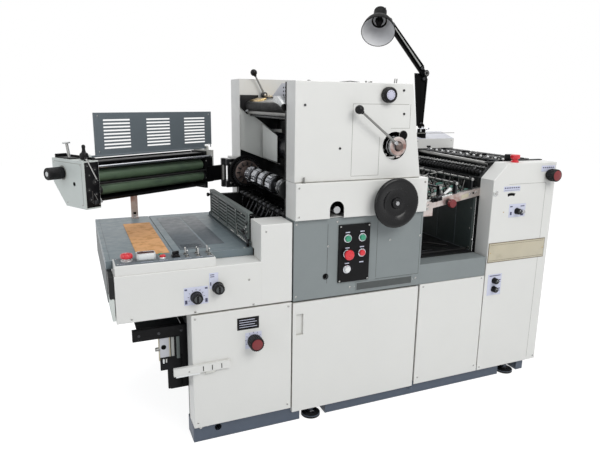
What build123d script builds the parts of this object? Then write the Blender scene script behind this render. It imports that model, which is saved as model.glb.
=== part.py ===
"""Two-tower sheet-fed offset printing press with a swung-out second inking unit.

Frame: X to the right along the paper's way back to the feeder, Y to the rear, Z up.
The origin is on the floor, at the middle of the base's underside. All sizes are millimetres.
"""
from build123d import *
import math
import os

# Driving dimensions of the base and the side frames
BASE_LENGTH = 1570.0
BASE_HEIGHT = 65.0
BASE_SETBACK = 21.0
BASE_MEMBER = 92.0
MACHINE_DEPTH = 800.0
FRAME_PLATE = 22.0
FRAME_LEG_WIDTH = 60.0
TIE_BAR_R = 17.0
TIE_BAR_INSET = 40.0
TOWER_BAR_DROP = 96.0
FOOT_R = 38.0
FOOT_THICKNESS = 10.0
FOOT_FORWARD = 18.0
FOOT_BOLT_R = 11.0
FOOT_SPACING = 1000.0
FOOT_END_INSET = 95.0
POCKET_WIDTH = 112.0
POCKET_HEIGHT = 50.0
POCKET_DEPTH = 62.0
LIFT_BORE_R = 13.0
LIFT_BORE_FROM_END = 91.0
LIFT_BORE_Z = 43.0

# Sheet covers
SHEET = 2.5
SEAM = 4.0
RUNNING_GAP = 1.0
SEAT_GAP = 0.3
DOOR_SEAM = 5.0
CUT_OVER = 2.0
COVER_DEPTH = 80.0
EDGE_R = 3.0
SKIRT_DROP = 14.0

# Widths of the front panels, from left to right
CABINET_WIDTH = 373.0
DOOR_WIDTH = 556.0
RIGHT_PANEL_WIDTH = 333.0
FEEDER_WIDTH = 342.0

# Heights of the front panels, from the floor up
LOWER_PANEL_TOP = 503.0
LEDGE_TOP = 588.0
FASCIA_TOP = 811.0
MIDDLE_COVER_TOP = 946.0
MIDDLE_COVER_PROUD = 16.0
UPPER_COVER_TOP = 1297.0
UPPER_COVER_WIDTH = 473.0
UPPER_COVER_FLARE = 54.0
REAR_COVER_TOP = 1322.0
REAR_COVER_BOTTOM = 967.0
REAR_COVER_DEPTH = 138.0
REAR_RETURN_HEIGHT = 84.0
FEEDER_TOP = 985.0
FEEDER_CHAMFER = 68.0
HALF_CHAMFER_ANGLE = 22.5
TAB_LENGTH = 46.0
TAB_THICKNESS = 10.0

# Door
DOOR_BOTTOM = 50.0
DOOR_THICKNESS = 15.0
DOOR_PULL_WIDTH = 28.0
DOOR_PULL_HEIGHT = 84.0
DOOR_PULL_TOP = 46.0
DOOR_PULL_INSET = 14.0
DOOR_PULL_DEPTH = 9.0
DOOR_PIN_R = 4.0
DOOR_PIN_LENGTH = 20.0
DOOR_LUG_WIDTH = 16.0
DOOR_LUG_THICKNESS = 9.0
PIN_FIT = 0.05
WINDOW_MARGIN = 40.0

# Arch and shaft below the middle cover
ARCH_LEFT_INSET = 134.0
ARCH_WIDTH = 58.0
ARCH_HEIGHT = 65.0
SHAFT_END_R = 13.0

# Handwheel
WHEEL_R = 95.0
WHEEL_RIM = 20.0
WHEEL_DISH = 9.0
WHEEL_STANDOFF = 28.0
WHEEL_HUB_R = 22.0
WHEEL_HUB_LENGTH = 22.0
WHEEL_SHAFT_R = 12.0
WHEEL_FROM_RIGHT = 165.0
WHEEL_Z = 862.0
WHEEL_RIM_ROUND = 8.0

# Pressure lever and its hub
HUB_OPENING_R = 52.0
HUB_R = 36.0
HUB_PROUD = 26.0
HUB_PIN_R = 14.0
HUB_X_FROM_LEFT = 405.0
HUB_Z = 1070.0
LEVER_ROD_R = 6.0
LEVER_BALL_R = 16.0
LEVER_LENGTH = 219.0
LEVER_ANGLE = 142.8
LEVER_HUB_R = 20.0
LEVER_HUB_LENGTH = 16.0

# Dial knob on the upper cover
DIAL_R = 31.5
DIAL_LENGTH = 24.0
DIAL_X_FROM_LEFT = 364.0
DIAL_DROP = 42.0
SPINDLE_R = 5.0
SPINDLE_REACH = 12.0
KNOB_ROUND_SHARE = 0.17

# Push-button plate on the grey fascia
PLATE_WIDTH = 132.0
PLATE_HEIGHT = 224.0
PLATE_THICKNESS = 8.0
PLATE_LEFT_INSET = 180.0
PLATE_DROP = 29.0
BUTTON_R = 14.0
BUTTON_PROUD = 12.0
MUSHROOM_R = 20.0
MUSHROOM_HEAD = 12.0
MUSHROOM_STEM = 14.0
MUSHROOM_STEM_R = 12.0
MUSHROOM_ROUND = 4.0
BUTTON_COLUMN_PITCH = 62.0
BUTTON_ROW_PITCH = 60.0
FASCIA_HOLE_R = 9.0
FASCIA_HOLE_X_INSET = 130.0
FASCIA_HOLE_Z = 588.0

# Knobs with coloured faces
FACED_KNOB_R = 27.0
FACED_KNOB_LENGTH = 46.0
CABINET_KNOB_X_INSET = 224.0
CABINET_KNOB_Z = 379.0
FEEDER_KNOB_X_INSET = 303.0
FEEDER_KNOB_Z = 931.0
DELIVERY_KNOB_R = 21.0
DELIVERY_KNOB_LENGTH = 28.0
DELIVERY_KNOB_SPACING = 76.0
DELIVERY_KNOB_RISE = 25.0
DELIVERY_KNOB_X_INSET = 262.0
DELIVERY_KNOB_Z = 571.0

# Delivery end
DELIVERY_LENGTH = 496.0
DELIVERY_BOTTOM = 509.0
DELIVERY_TOP = 672.0
DELIVERY_COVER_DEPTH = 94.0
TABLE_SETBACK = 10.0
RISER_WIDTH = 119.0
RISER_TOP = 805.0
RISER_DEPTH = 117.0
TABLE_TOP = 700.0
TABLE_OVERHANG = 18.0
TABLE_SEAM_SHARE = 0.45
TABLE_SEAM_WIDTH = 4.0
TABLE_SEAM_DEPTH = 3.0
HOOD_SHEET = 3.0
HOOD_DROP = 117.0
INSERT_WIDTH = 111.0
INSERT_LENGTH = 515.0
INSERT_THICKNESS = 1.5
INSERT_LEFT_INSET = 106.0
INSERT_FRONT_INSET = 36.0

# Control box on the delivery cover
CONTROL_LENGTH = 330.0
CONTROL_HEIGHT = 33.0
CONTROL_LEFT_INSET = 4.0
CONTROL_TOP_INSET = 5.0
CONTROL_TOP_THICKNESS = 3.0
DISPLAY_LENGTH = 62.0
DISPLAY_DEPTH = 34.0
DISPLAY_HEIGHT = 26.0
TOGGLE_R = 3.0
TOGGLE_BUSH_R = 6.5
TOGGLE_BUSH_HEIGHT = 7.0
TOGGLE_LENGTH = 24.0
TOGGLE_PITCH_X = 38.0
TOGGLE_PITCH_Y = 30.0
SELECTOR_SIZE = 26.0
SELECTOR_HEIGHT = 18.0

# Grille guard at the head of the delivery table
GRILLE_HEIGHT = 118.0
GRILLE_THICKNESS = 6.0
GRILLE_LIP = 14.0
GRILLE_SIDE_GAP = 6.0
GRILLE_COLUMNS = 4
GRILLE_ROWS = 7
GRILLE_SLOT_HEIGHT = 7.0
GRILLE_MARGIN_X = 30.0
GRILLE_MARGIN_Z = 16.0
GRILLE_BAR = 14.0
GRILLE_PIN_R = 4.0
GRILLE_OFFSET = 3.0
GRILLE_FRONT_INSET = 118.0
GRILLE_BACK_INSET = 83.0
GRILLE_LUG = 8.0

# Numbering shaft
NUMBER_SHAFT_R = 14.0
NUMBER_JOURNAL_R = 10.0
NUMBER_JOURNAL_LENGTH = 16.0
NUMBER_SHAFT_X_INSET = 24.0
NUMBER_SHAFT_Z = 906.0
NUMBER_BOX_COUNT = 4
NUMBER_BOX_WHEELS = 6
NUMBER_WHEEL_R = 38.0
NUMBER_WHEEL_WIDTH = 5.0
NUMBER_WHEEL_STEP = 8.0
NUMBER_GEAR_R = 66.0
NUMBER_GEAR_WIDTH = 12.0
NUMBER_BOX_PITCH = 91.0
NUMBER_BOX_FROM_GEAR = 107.0
SHAFT_END_GAP = 0.5

# Rollers and cylinders inside
CYLINDER_END_GAP = 6.0
FOUNTAIN_ROLLER_R = 24.0
FOUNTAIN_X_INSET = 96.0
FOUNTAIN_Z = 1216.0
FOUNTAIN_TRAY_WIDTH = 120.0
FOUNTAIN_TRAY_HEIGHT = 60.0
FOUNTAIN_SHEET = 6.0

# Lever on the ink fountain
FOUNTAIN_LEVER_BALL_R = 15.0
FOUNTAIN_LEVER_LENGTH = 108.0

# Swung-out inking unit
UNIT_HINGE_X_GAP = 55.0
UNIT_HINGE_Y_INSET = 48.0
UNIT_SWING = 60.0
UNIT_LENGTH = 750.0
UNIT_COVER_DEPTH = 62.0
UNIT_COVER_WIDTH = 208.0
UNIT_COVER_FRONT = 48.0
UNIT_COVER_BOTTOM = 832.0
UNIT_COVER_TOP = 1008.0
UNIT_COVER_SLANT = 78.0
UNIT_COVER_SLANT_TOP = 84.0
UNIT_PLATE = 10.0
UNIT_HINGE_PLATE_S = 100.0
UNIT_ROLLER_GAP = 22.0
UNIT_GUARD_LENGTH = 590.0
UNIT_GUARD_HEIGHT = 165.0
UNIT_GUARD_SHEET = 3.0
UNIT_GUARD_BOTTOM = 1012.0
UNIT_GUARD_START = 74.0
UNIT_GUARD_SLOTS = 9
UNIT_GUARD_GROUPS = 3
UNIT_GUARD_SLOT_LENGTH = 120.0
UNIT_GUARD_SLOT_HEIGHT = 6.0
UNIT_GUARD_SLOT_PITCH = 13.0
UNIT_HINGE_R = 13.0
UNIT_HINGE_PIN_R = 7.0
UNIT_KNOB_R = 23.0
UNIT_KNOB_LENGTH = 62.0
UNIT_KNOB_Z = 956.0
UNIT_KNOB_N = -92.0
UNIT_BAR_R = 5.0
UNIT_BAR_Z = 982.0
UNIT_BAR_N = 30.0

# Rest post on the delivery table
POST_HEIGHT = 146.0
POST_LEFT_INSET = 152.0
POST_BACK_INSET = 20.0

# Feed table, tapes and wheel bars
BOARD_ANGLE = 9.5
BOARD_THICKNESS = 10.0
BOARD_RIGHT_Z = 858.0
TAPE_COUNT = 6
TAPE_WIDTH = 36.0
TAPE_THICKNESS = 1.5
RAIL_HEIGHT = 34.0
RAIL_BRACKET_WIDTH = 102.0
RAIL_BRACKET_DROP = 16.0
GUIDE_PLATE_THICKNESS = 4.0
GUIDE_PLATE_INSET = 7.0
GUIDE_PLATE_SEAT = 17.0
BAR_COUNT = 4
BAR_R = 7.0
BAR_RISE = 62.0
BAR_FIRST_INSET = 52.0
BAR_PITCH = 82.0
BAR_WHEELS = 6
BAR_WHEEL_R = 15.0
BAR_WHEEL_WIDTH = 8.0
BAR_ARM_WIDTH = 8.0

# Feeder head and pile
HEAD_BAR = 26.0
HEAD_BAR_RISE = 18.0
HEAD_BAR_COUNT = 3
HEAD_BAR_PITCH = 78.0
HEAD_BAR_X_INSET = 62.0
PILE_TABLE_Z = 330.0
PILE_TABLE_THICKNESS = 22.0
PILE_SIDE_GAP = 14.0
PILE_SLOT_COUNT = 5
PILE_SLOT_WIDTH = 26.0
PILE_RAIL_WIDTH = 34.0
PILE_RAIL_THICKNESS = 8.0
STOP_X_INSET = 140.0
FEEDER_SMALL_KNOB_R = 14.0
FEEDER_SMALL_KNOB_LENGTH = 22.0

# White box and lamp behind the feed table
BOX_LENGTH = 250.0
BOX_DEPTH = 118.0
BOX_HEIGHT = 88.0
BOX_RIGHT_INSET = 30.0
LAMP_BASE_R = 24.0
LAMP_BASE_HEIGHT = 22.0
LAMP_X_INSET = 60.0
LAMP_STEM_R = 9.0
LAMP_STEM_HEIGHT = 34.0
LAMP_LOWER_LENGTH = 271.0
LAMP_UPPER_LENGTH = 337.0
LAMP_UPPER_ANGLE = 133.2
LAMP_SHADE_R = 80.0
LAMP_SHADE_DEPTH = 95.0
LAMP_SHADE_SHEET = 2.0
LAMP_NECK_R = 32.0
LAMP_NECK_LENGTH = 72.0
LAMP_JOINT_R = 13.0
LAMP_JOINT_WIDTH = 12.0
LAMP_JOINT_GAP = 0.4

# Delivery pile lift and guide bar
LIFT_BEAM_LENGTH = 187.0
LIFT_BEAM_HEIGHT = 42.0
LIFT_BEAM_DEPTH = 16.0
LIFT_BEAM_Z = 386.0
LIFT_PLATE_WIDTH = 80.0
LIFT_PLATE_HEIGHT = 206.0
GUIDE_BAR_LENGTH = 200.0
GUIDE_BAR_HEIGHT = 28.0
GUIDE_BAR_THICKNESS = 12.0
GUIDE_BAR_Z = 307.0
GUIDE_BAR_OVERHANG = 67.0

# Small sizes of the lining, the controls, the hub and the inking unit
LINING_WIDTH = 195.0
LINING_BOTTOM = 1010.0
LINING_BOTTOM_FALL = 77.0
LINING_TOP = 1206.0
LINING_TOP_FALL = 140.0
CONTROL_FRONT_INSET = 4.0
STOP_INSET = 42.0
DISPLAY_INSET = 72.0
CONTROL_BUTTON_INSET = 158.0
SELECTOR_INSET = 202.0
TOGGLE_INSET = 238.0
TOGGLE_COLUMNS = 3
TOGGLE_ROWS = 2
HUB_SEAT_BACK = 30.0
ROLLER_JOURNAL_SHARE = 0.4
ROLLER_PLACES = ((196.0, 850.0, 80.0), (362.0, 800.0, 80.0), (170.0, 1030.0, 58.0), (290.0, 1120.0, 40.0),
                 (206.0, 1166.0, 28.0))
FOUNTAIN_LEVER_INSET = 112.0
FOUNTAIN_LEVER_Z = 1254.0
FOUNTAIN_LEVER_ANGLE = 118.0
FOUNTAIN_LEVER_HUB_R = 12.0
FOUNTAIN_LEVER_HUB_LENGTH = 30.0
FOUNTAIN_LEVER_ARM_INSET = 8.0
UNIT_BRACKET_BOTTOM = 830.0
UNIT_BRACKET_HEIGHT = 132.0
UNIT_WEB_GAP = 10.0
UNIT_KNUCKLE = 30.0
UNIT_ROLLERS = ((-14.0, 892.0, 24.0), (-16.0, 942.0, 22.0), (-60.0, 905.0, 25.0))
UNIT_GUARD_BAR_R = 4.0
UNIT_EAR_WIDTH = 9.0
UNIT_EAR_GAP = 6.0
UNIT_ARM_N = 38.0
UNIT_ARM_HEIGHT = 28.0
UNIT_PLATE_N = -3.0
POST_WIDTH = 30.0
POST_THICKNESS = 8.0
POST_FOOT = 6.0
FEEDER_SMALL_KNOBS = ((139.0, 779.0), (51.0, 475.0), (51.0, 436.0))
BOARD_TAIL = 50.0
BOX_BACK_INSET = 10.0
BOX_FALL = 31.0
LAMP_Y_INSET = 84.0
LAMP_ROD_R = 4.0
LAMP_SPIGOT = 14.0
LAMP_AIM_X = -0.423
LAMP_AIM_Y = -0.639
LAMP_AIM_Z = -0.643
LAMP_BELL_SHARE = 0.62
LAMP_BELL_DEPTH_SHARE = 0.35
LAMP_HEAD_SHIFT_X = -72.0
LAMP_HEAD_SHIFT_Y = -25.0
LAMP_HEAD_SHIFT_Z = -7.0
LAMP_LINK_BACK = 44.0
LAMP_LINK_SHIFT = 3.0
LAMP_ELBOW_WIDTH = 62.0
LAMP_HEAD_WIDTH = 30.0
LIFT_SIDE_GAP = 14.0
LIFT_SHOE_GAP = 8.3
LIFT_REACH = 20.0

# Stations worked out from the driving dimensions
front_y = -MACHINE_DEPTH / 2
back_y = MACHINE_DEPTH / 2
cabinet_x0 = -BASE_LENGTH / 2
cabinet_x1 = cabinet_x0 + CABINET_WIDTH
door_x0 = cabinet_x1 + DOOR_SEAM
door_x1 = door_x0 + DOOR_WIDTH
right_x0 = door_x1 + DOOR_SEAM
right_x1 = right_x0 + RIGHT_PANEL_WIDTH
feeder_x0 = right_x1 + SEAM
feeder_x1 = feeder_x0 + FEEDER_WIDTH
riser_x0 = cabinet_x1 - RISER_WIDTH
delivery_x0 = riser_x0 - DELIVERY_LENGTH
upper_x1 = door_x0 + UPPER_COVER_WIDTH
flare_x1 = upper_x1 + UPPER_COVER_FLARE
lower_z0 = BASE_HEIGHT + SEAM
front_frame_y0 = front_y + COVER_DEPTH
front_frame_y1 = front_frame_y0 + FRAME_PLATE
rear_frame_y1 = back_y - COVER_DEPTH
rear_frame_y0 = rear_frame_y1 - FRAME_PLATE
inset = SHEET + SEAT_GAP

# Where the knobs turn, as x and z
dial_place = (door_x0 + DIAL_X_FROM_LEFT, UPPER_COVER_TOP - DIAL_DROP)
cabinet_knob_place = (cabinet_x0 + CABINET_KNOB_X_INSET, CABINET_KNOB_Z)
feeder_knob_place = (feeder_x0 + FEEDER_KNOB_X_INSET, FEEDER_KNOB_Z)
left_knob_place = (delivery_x0 + DELIVERY_KNOB_X_INSET, DELIVERY_KNOB_Z)
right_knob_place = (left_knob_place[0] + DELIVERY_KNOB_SPACING, DELIVERY_KNOB_Z + DELIVERY_KNOB_RISE)


def block(x0, x1, y0, y1, z0, z1):
    """A box between two corners."""
    centre = Pos((x0 + x1) / 2, (y0 + y1) / 2, (z0 + z1) / 2)
    return centre * Box(x1 - x0, y1 - y0, z1 - z0)


def rod_y(x, y0, y1, z, radius):
    """A round bar along Y."""
    return Pos(x, (y0 + y1) / 2, z) * Rot(90, 0, 0) * Cylinder(radius, y1 - y0)


def rod_z(x, y, z0, z1, radius):
    """A round bar along Z."""
    return Pos(x, y, (z0 + z1) / 2) * Cylinder(radius, z1 - z0)


def bar_between(start, end, radius):
    """A round bar between two points."""
    run = Vector(*end) - Vector(*start)
    return Plane(origin=start, z_dir=run) * Cylinder(
        radius, run.length, align=(Align.CENTER, Align.CENTER, Align.MIN))


def profile_xz(points, y0, y1):
    """A flat outline in X and Z, from y0 to y1."""
    face = Plane.XZ.offset(-y0) * make_face(Polyline(*points, close=True))
    return extrude(face, amount=y0 - y1)


def fuse(shapes):
    """One solid from shapes that overlap or touch."""
    whole = shapes[0]
    for shape in shapes[1:]:
        whole += shape
    return whole


def tray(x0, x1, z0, z1, depth, face_y=None, top_depth=None, left_depth=None):
    """A folded sheet cover: a front face with four flanges, open to the rear."""
    y0 = front_y if face_y is None else face_y
    shell = block(x0, x1, y0, y0 + depth, z0, z1)
    shell = fillet(shell.faces().sort_by(Axis.Y)[0].edges(), EDGE_R)
    shell -= block(x0 + SHEET, x1 - SHEET, y0 + SHEET, y0 + depth + CUT_OVER, z0 + SHEET, z1 - SHEET)
    if top_depth is not None:
        shell += block(x0, x1, y0 + depth / 2, y0 + top_depth, z1 - SHEET, z1)
    if left_depth is not None:
        shell += block(x0, x0 + SHEET, y0 + depth / 2, y0 + left_depth, z0, z1)
    return shell


def to_rear(shape):
    """The same cover at the rear, reflected in the machine's middle plane."""
    return mirror(shape, about=Plane.XZ)


def knob_on_y(place, radius, length):
    """A turned knob before the front covers, on a spindle through their sheet."""
    x, z = place
    rear = front_y - RUNNING_GAP
    body = rod_y(x, rear - length, rear, z, radius)
    body = fillet(body.faces().sort_by(Axis.Y)[0].edges(), radius * KNOB_ROUND_SHARE)
    return body + rod_y(x, rear, front_y + SPINDLE_REACH, z, SPINDLE_R)


def spindle_bore(place):
    """Bore for a knob's spindle through the front sheet of a cover."""
    x, z = place
    return rod_y(x, front_y - CUT_OVER, front_y + SHEET + CUT_OVER, z, SPINDLE_R + PIN_FIT)


def base_frame():
    """Cast plinth with levelling pockets, jacking feet, a lifting bore and the door's lower pivot."""
    y0, y1 = front_y + BASE_SETBACK, back_y - BASE_SETBACK
    shape = block(-BASE_LENGTH / 2, BASE_LENGTH / 2, y0, y1, 0, BASE_HEIGHT)
    lift_x = -BASE_LENGTH / 2 + LIFT_BORE_FROM_END
    shape -= block(-BASE_LENGTH / 2 - CUT_OVER, cabinet_x1, y0 + BASE_MEMBER, y1 - BASE_MEMBER,
                   -CUT_OVER, BASE_HEIGHT + CUT_OVER)
    shape -= rod_y(lift_x, y0 - CUT_OVER, y1 + CUT_OVER, LIFT_BORE_Z, LIFT_BORE_R)
    half = POCKET_WIDTH / 2
    feet = []
    right_foot_x = BASE_LENGTH / 2 - FOOT_END_INSET
    for x in (right_foot_x - FOOT_SPACING, right_foot_x):
        for edge, side in ((y0, -1), (y1, 1)):
            ends = sorted((edge - side * POCKET_DEPTH, edge + side * CUT_OVER))
            shape -= block(x - half, x + half, *ends, -CUT_OVER, POCKET_HEIGHT)
            foot_y = edge - side * FOOT_FORWARD
            feet.append(rod_z(x, foot_y, 0, FOOT_THICKNESS, FOOT_R))
            feet.append(rod_z(x, foot_y, FOOT_THICKNESS, POCKET_HEIGHT, FOOT_BOLT_R))
    pin_x, pin_y = door_axis()
    lug_top = DOOR_BOTTOM - DOOR_SEAM
    half = DOOR_LUG_WIDTH / 2
    lug = block(pin_x - half, pin_x + half, pin_y, y0, lug_top - DOOR_LUG_THICKNESS, lug_top)
    lug += rod_z(pin_x, pin_y, lug_top - DOOR_LUG_THICKNESS, lug_top, DOOR_THICKNESS / 2)
    lug += rod_z(pin_x, pin_y, lug_top, DOOR_BOTTOM + DOOR_PIN_LENGTH, DOOR_PIN_R)
    return fuse([shape, lug] + feet)


def door_axis():
    """Where the door turns: in the middle of its rounded right edge."""
    return door_x1 - DOOR_THICKNESS / 2, front_y + DOOR_THICKNESS / 2


def side_frame(y0, y1, tower_top):
    """Side plate from the delivery end to the feeder, with a window behind the door."""
    riser_top = RISER_TOP - inset
    points = [(cabinet_x0 + inset, BASE_HEIGHT), (feeder_x1 - inset, BASE_HEIGHT),
              (feeder_x1 - inset, FEEDER_TOP - inset),
              (feeder_x0 + FEEDER_CHAMFER, FEEDER_TOP - inset),
              (feeder_x0 + inset, FEEDER_TOP - FEEDER_CHAMFER), (feeder_x0 + inset, LEDGE_TOP - inset),
              (door_x1 - inset, LEDGE_TOP - inset), (door_x1 - inset, MIDDLE_COVER_TOP - inset),
              (flare_x1 - inset, MIDDLE_COVER_TOP - inset), (upper_x1 - inset, tower_top),
              (door_x0 + inset, tower_top), (door_x0 + inset, riser_top), (riser_x0 + inset, riser_top),
              (riser_x0 + inset, DELIVERY_TOP - inset), (delivery_x0 + inset, DELIVERY_TOP - inset),
              (delivery_x0 + inset, DELIVERY_BOTTOM + inset), (cabinet_x0 + inset, DELIVERY_BOTTOM + inset)]
    shape = profile_xz(points, y0, y1)
    low, high = BASE_HEIGHT + WINDOW_MARGIN, LOWER_PANEL_TOP - WINDOW_MARGIN
    leg = FRAME_LEG_WIDTH
    return shape - block(door_x0 + leg, door_x1 - leg, y0 - CUT_OVER, y1 + CUT_OVER, low, high)


def front_side_frame():
    """The operator's side plate, bored for the handwheel's and the numbering shaft's journals."""
    shape = side_frame(front_frame_y0, front_frame_y1, UPPER_COVER_TOP - inset)
    for x, z, radius in ((door_x1 - WHEEL_FROM_RIGHT, WHEEL_Z, WHEEL_SHAFT_R),
                         (door_x0 + NUMBER_SHAFT_X_INSET, NUMBER_SHAFT_Z, NUMBER_JOURNAL_R)):
        shape -= rod_y(x, front_frame_y0 - CUT_OVER, front_frame_y1 + CUT_OVER, z, radius + PIN_FIT)
    return shape


def rear_side_frame():
    """The gear side's plate."""
    return side_frame(rear_frame_y0, rear_frame_y1, REAR_COVER_TOP - inset)


def tie_bars():
    """Round bars that join the two side plates."""
    reach = TIE_BAR_INSET
    places = [(door_x0 + reach, BASE_HEIGHT + reach), (right_x1 - reach, BASE_HEIGHT + reach),
              (door_x0 + reach, LOWER_PANEL_TOP + reach), (door_x1 - reach, LOWER_PANEL_TOP + reach),
              (upper_x1 - reach, UPPER_COVER_TOP - TOWER_BAR_DROP),
              (delivery_x0 + reach, DELIVERY_TOP - reach)]
    return Compound([rod_y(x, front_frame_y1, rear_frame_y0, z, TIE_BAR_R) for x, z in places])


def lower_left_cabinet():
    """Front cover of the delivery end, below the delivery cover."""
    shape = tray(cabinet_x0, cabinet_x1, lower_z0, LOWER_PANEL_TOP, COVER_DEPTH)
    return shape - spindle_bore(cabinet_knob_place)


def lower_right_panel():
    """Panel below the ledge, with its front sheet hung before the base."""
    shape = tray(right_x0, right_x1, lower_z0, LOWER_PANEL_TOP, COVER_DEPTH)
    return shape + block(right_x0, right_x1, front_y, front_y + SHEET,
                         lower_z0 - SKIRT_DROP, lower_z0 + SKIRT_DROP)


def front_door():
    """Folded door with a recessed pull, a rounded hinge edge and bores for its two pivots."""
    y1 = front_y + DOOR_THICKNESS
    z1 = LOWER_PANEL_TOP - DOOR_SEAM
    pin_x, pin_y = door_axis()
    shape = block(door_x0, pin_x, front_y, y1, DOOR_BOTTOM, z1)
    shape += rod_z(pin_x, pin_y, DOOR_BOTTOM, z1, DOOR_THICKNESS / 2)
    x0 = door_x0 + DOOR_PULL_INSET
    top = z1 - DOOR_PULL_TOP
    shape -= block(x0, x0 + DOOR_PULL_WIDTH, front_y - CUT_OVER, front_y + DOOR_PULL_DEPTH,
                   top - DOOR_PULL_HEIGHT, top)
    bore = DOOR_PIN_R + PIN_FIT
    depth = DOOR_PIN_LENGTH + RUNNING_GAP
    shape -= rod_z(pin_x, pin_y, DOOR_BOTTOM - CUT_OVER, DOOR_BOTTOM + depth, bore)
    return shape - rod_z(pin_x, pin_y, z1 - depth, z1 + CUT_OVER, bore)


def grey_fascia():
    """Grey fascia, a ledge below the feed table and the door's upper pivot."""
    z0 = LOWER_PANEL_TOP + RUNNING_GAP
    shape = tray(door_x0, door_x1, z0, FASCIA_TOP, COVER_DEPTH)
    shape += tray(door_x1 - SHEET, right_x1, z0, LEDGE_TOP, COVER_DEPTH)
    x = door_x0 + FASCIA_HOLE_X_INSET
    shape -= rod_y(x, front_y - CUT_OVER, front_y + SHEET + CUT_OVER, FASCIA_HOLE_Z, FASCIA_HOLE_R)
    pin_x, pin_y = door_axis()
    z1 = LOWER_PANEL_TOP - DOOR_SEAM
    return shape + rod_z(pin_x, pin_y, z1 - DOOR_PIN_LENGTH, z0 + SHEET, DOOR_PIN_R)


def middle_cover():
    """Proud white cover behind the handwheel, arched over the drive shaft's end."""
    y0 = front_y - MIDDLE_COVER_PROUD
    z0 = FASCIA_TOP + RUNNING_GAP
    shape = tray(door_x0, door_x1, z0, MIDDLE_COVER_TOP, COVER_DEPTH + MIDDLE_COVER_PROUD, face_y=y0)
    half = ARCH_WIDTH / 2
    x = door_x0 + ARCH_LEFT_INSET + half
    spring = FASCIA_TOP + ARCH_HEIGHT - half
    arch = block(x - half, x + half, y0 - CUT_OVER, front_y + SHEET, z0 - CUT_OVER, spring)
    arch += rod_y(x, y0 - CUT_OVER, front_y + SHEET, spring, half)
    wheel_x = door_x1 - WHEEL_FROM_RIGHT
    bore = rod_y(wheel_x, y0 - CUT_OVER, y0 + SHEET + CUT_OVER, WHEEL_Z, WHEEL_SHAFT_R + RUNNING_GAP)
    return shape - arch - bore


def tower_outline(z0, z1, edge):
    """Outline of the tall covers, slanted at the right, edge inside their faces."""
    return [(door_x0 + edge, z0), (flare_x1 - edge, z0), (upper_x1 - edge, z1), (door_x0 + edge, z1)]


def upper_front_cover():
    """Tall white cover with a slanted right edge and the lever's round opening."""
    z0, z1 = MIDDLE_COVER_TOP + RUNNING_GAP, UPPER_COVER_TOP
    shape = profile_xz(tower_outline(z0, z1, 0), front_y, front_y + COVER_DEPTH)
    shape = fillet(shape.faces().sort_by(Axis.Y)[0].edges(), EDGE_R)
    hollow = tower_outline(z0 + SHEET, z1 - SHEET, SHEET)
    shape -= profile_xz(hollow, front_y + SHEET, front_y + COVER_DEPTH + CUT_OVER)
    shape -= rod_y(hub_x(), front_y - CUT_OVER, front_y + SHEET + CUT_OVER, HUB_Z, HUB_OPENING_R)
    return shape - spindle_bore(dial_place)


def upper_rear_cover():
    """Tall rear cover over the gear side, deeper than the front one."""
    z0, z1 = REAR_COVER_BOTTOM, REAR_COVER_TOP
    y0 = back_y - REAR_COVER_DEPTH
    shape = profile_xz(tower_outline(z0, z1, 0), y0, back_y)
    shape = fillet(shape.faces().sort_by(Axis.Y)[-1].edges(), EDGE_R)
    hollow = tower_outline(z0 - CUT_OVER, z1 - SHEET, SHEET)
    shape -= profile_xz(hollow, y0 - CUT_OVER, back_y - SHEET)
    fold = tower_outline(z1 - REAR_RETURN_HEIGHT, z1, SHEET / 2)
    fold[1] = (upper_x1 + UPPER_COVER_FLARE * REAR_RETURN_HEIGHT / (z1 - z0) - SHEET / 2, fold[1][1])
    shape += profile_xz(fold, y0, y0 + SHEET)
    x, y = fountain_pivot()
    shape -= rod_y(x, y, y0 + SHEET + CUT_OVER, FOUNTAIN_LEVER_Z, SPINDLE_R + PIN_FIT)
    tab = block(door_x0 - TAB_LENGTH, door_x0 + SHEET, y0, y0 + TAB_LENGTH, z0, z0 + TAB_THICKNESS)
    return shape + tab


def rear_lower_covers():
    """Plain rear covers between the base and the tall rear cover."""
    left = tray(cabinet_x0, cabinet_x1, lower_z0, LOWER_PANEL_TOP, COVER_DEPTH)
    middle = tray(door_x0, door_x1, lower_z0, REAR_COVER_BOTTOM - SEAM, COVER_DEPTH)
    right = tray(right_x0, right_x1, lower_z0, LEDGE_TOP, COVER_DEPTH)
    return Compound([to_rear(cover) for cover in (left, middle, right)])


def inner_panel():
    """Pale lining of the rear plate, cut on the slant above and below."""
    x0 = door_x0 + inset
    x1 = x0 + LINING_WIDTH
    points = [(x0, LINING_BOTTOM), (x1, LINING_BOTTOM - LINING_BOTTOM_FALL),
              (x1, LINING_TOP - LINING_TOP_FALL), (x0, LINING_TOP)]
    y0 = back_y - REAR_COVER_DEPTH + SHEET
    panel = profile_xz(points, y0, rear_frame_y0)
    for x_inset, z, radius in ROLLER_PLACES:
        journal = radius * ROLLER_JOURNAL_SHARE + SEAT_GAP
        panel -= rod_y(door_x0 + x_inset, y0 - CUT_OVER, rear_frame_y0 + CUT_OVER, z, journal)
    return panel


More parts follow.
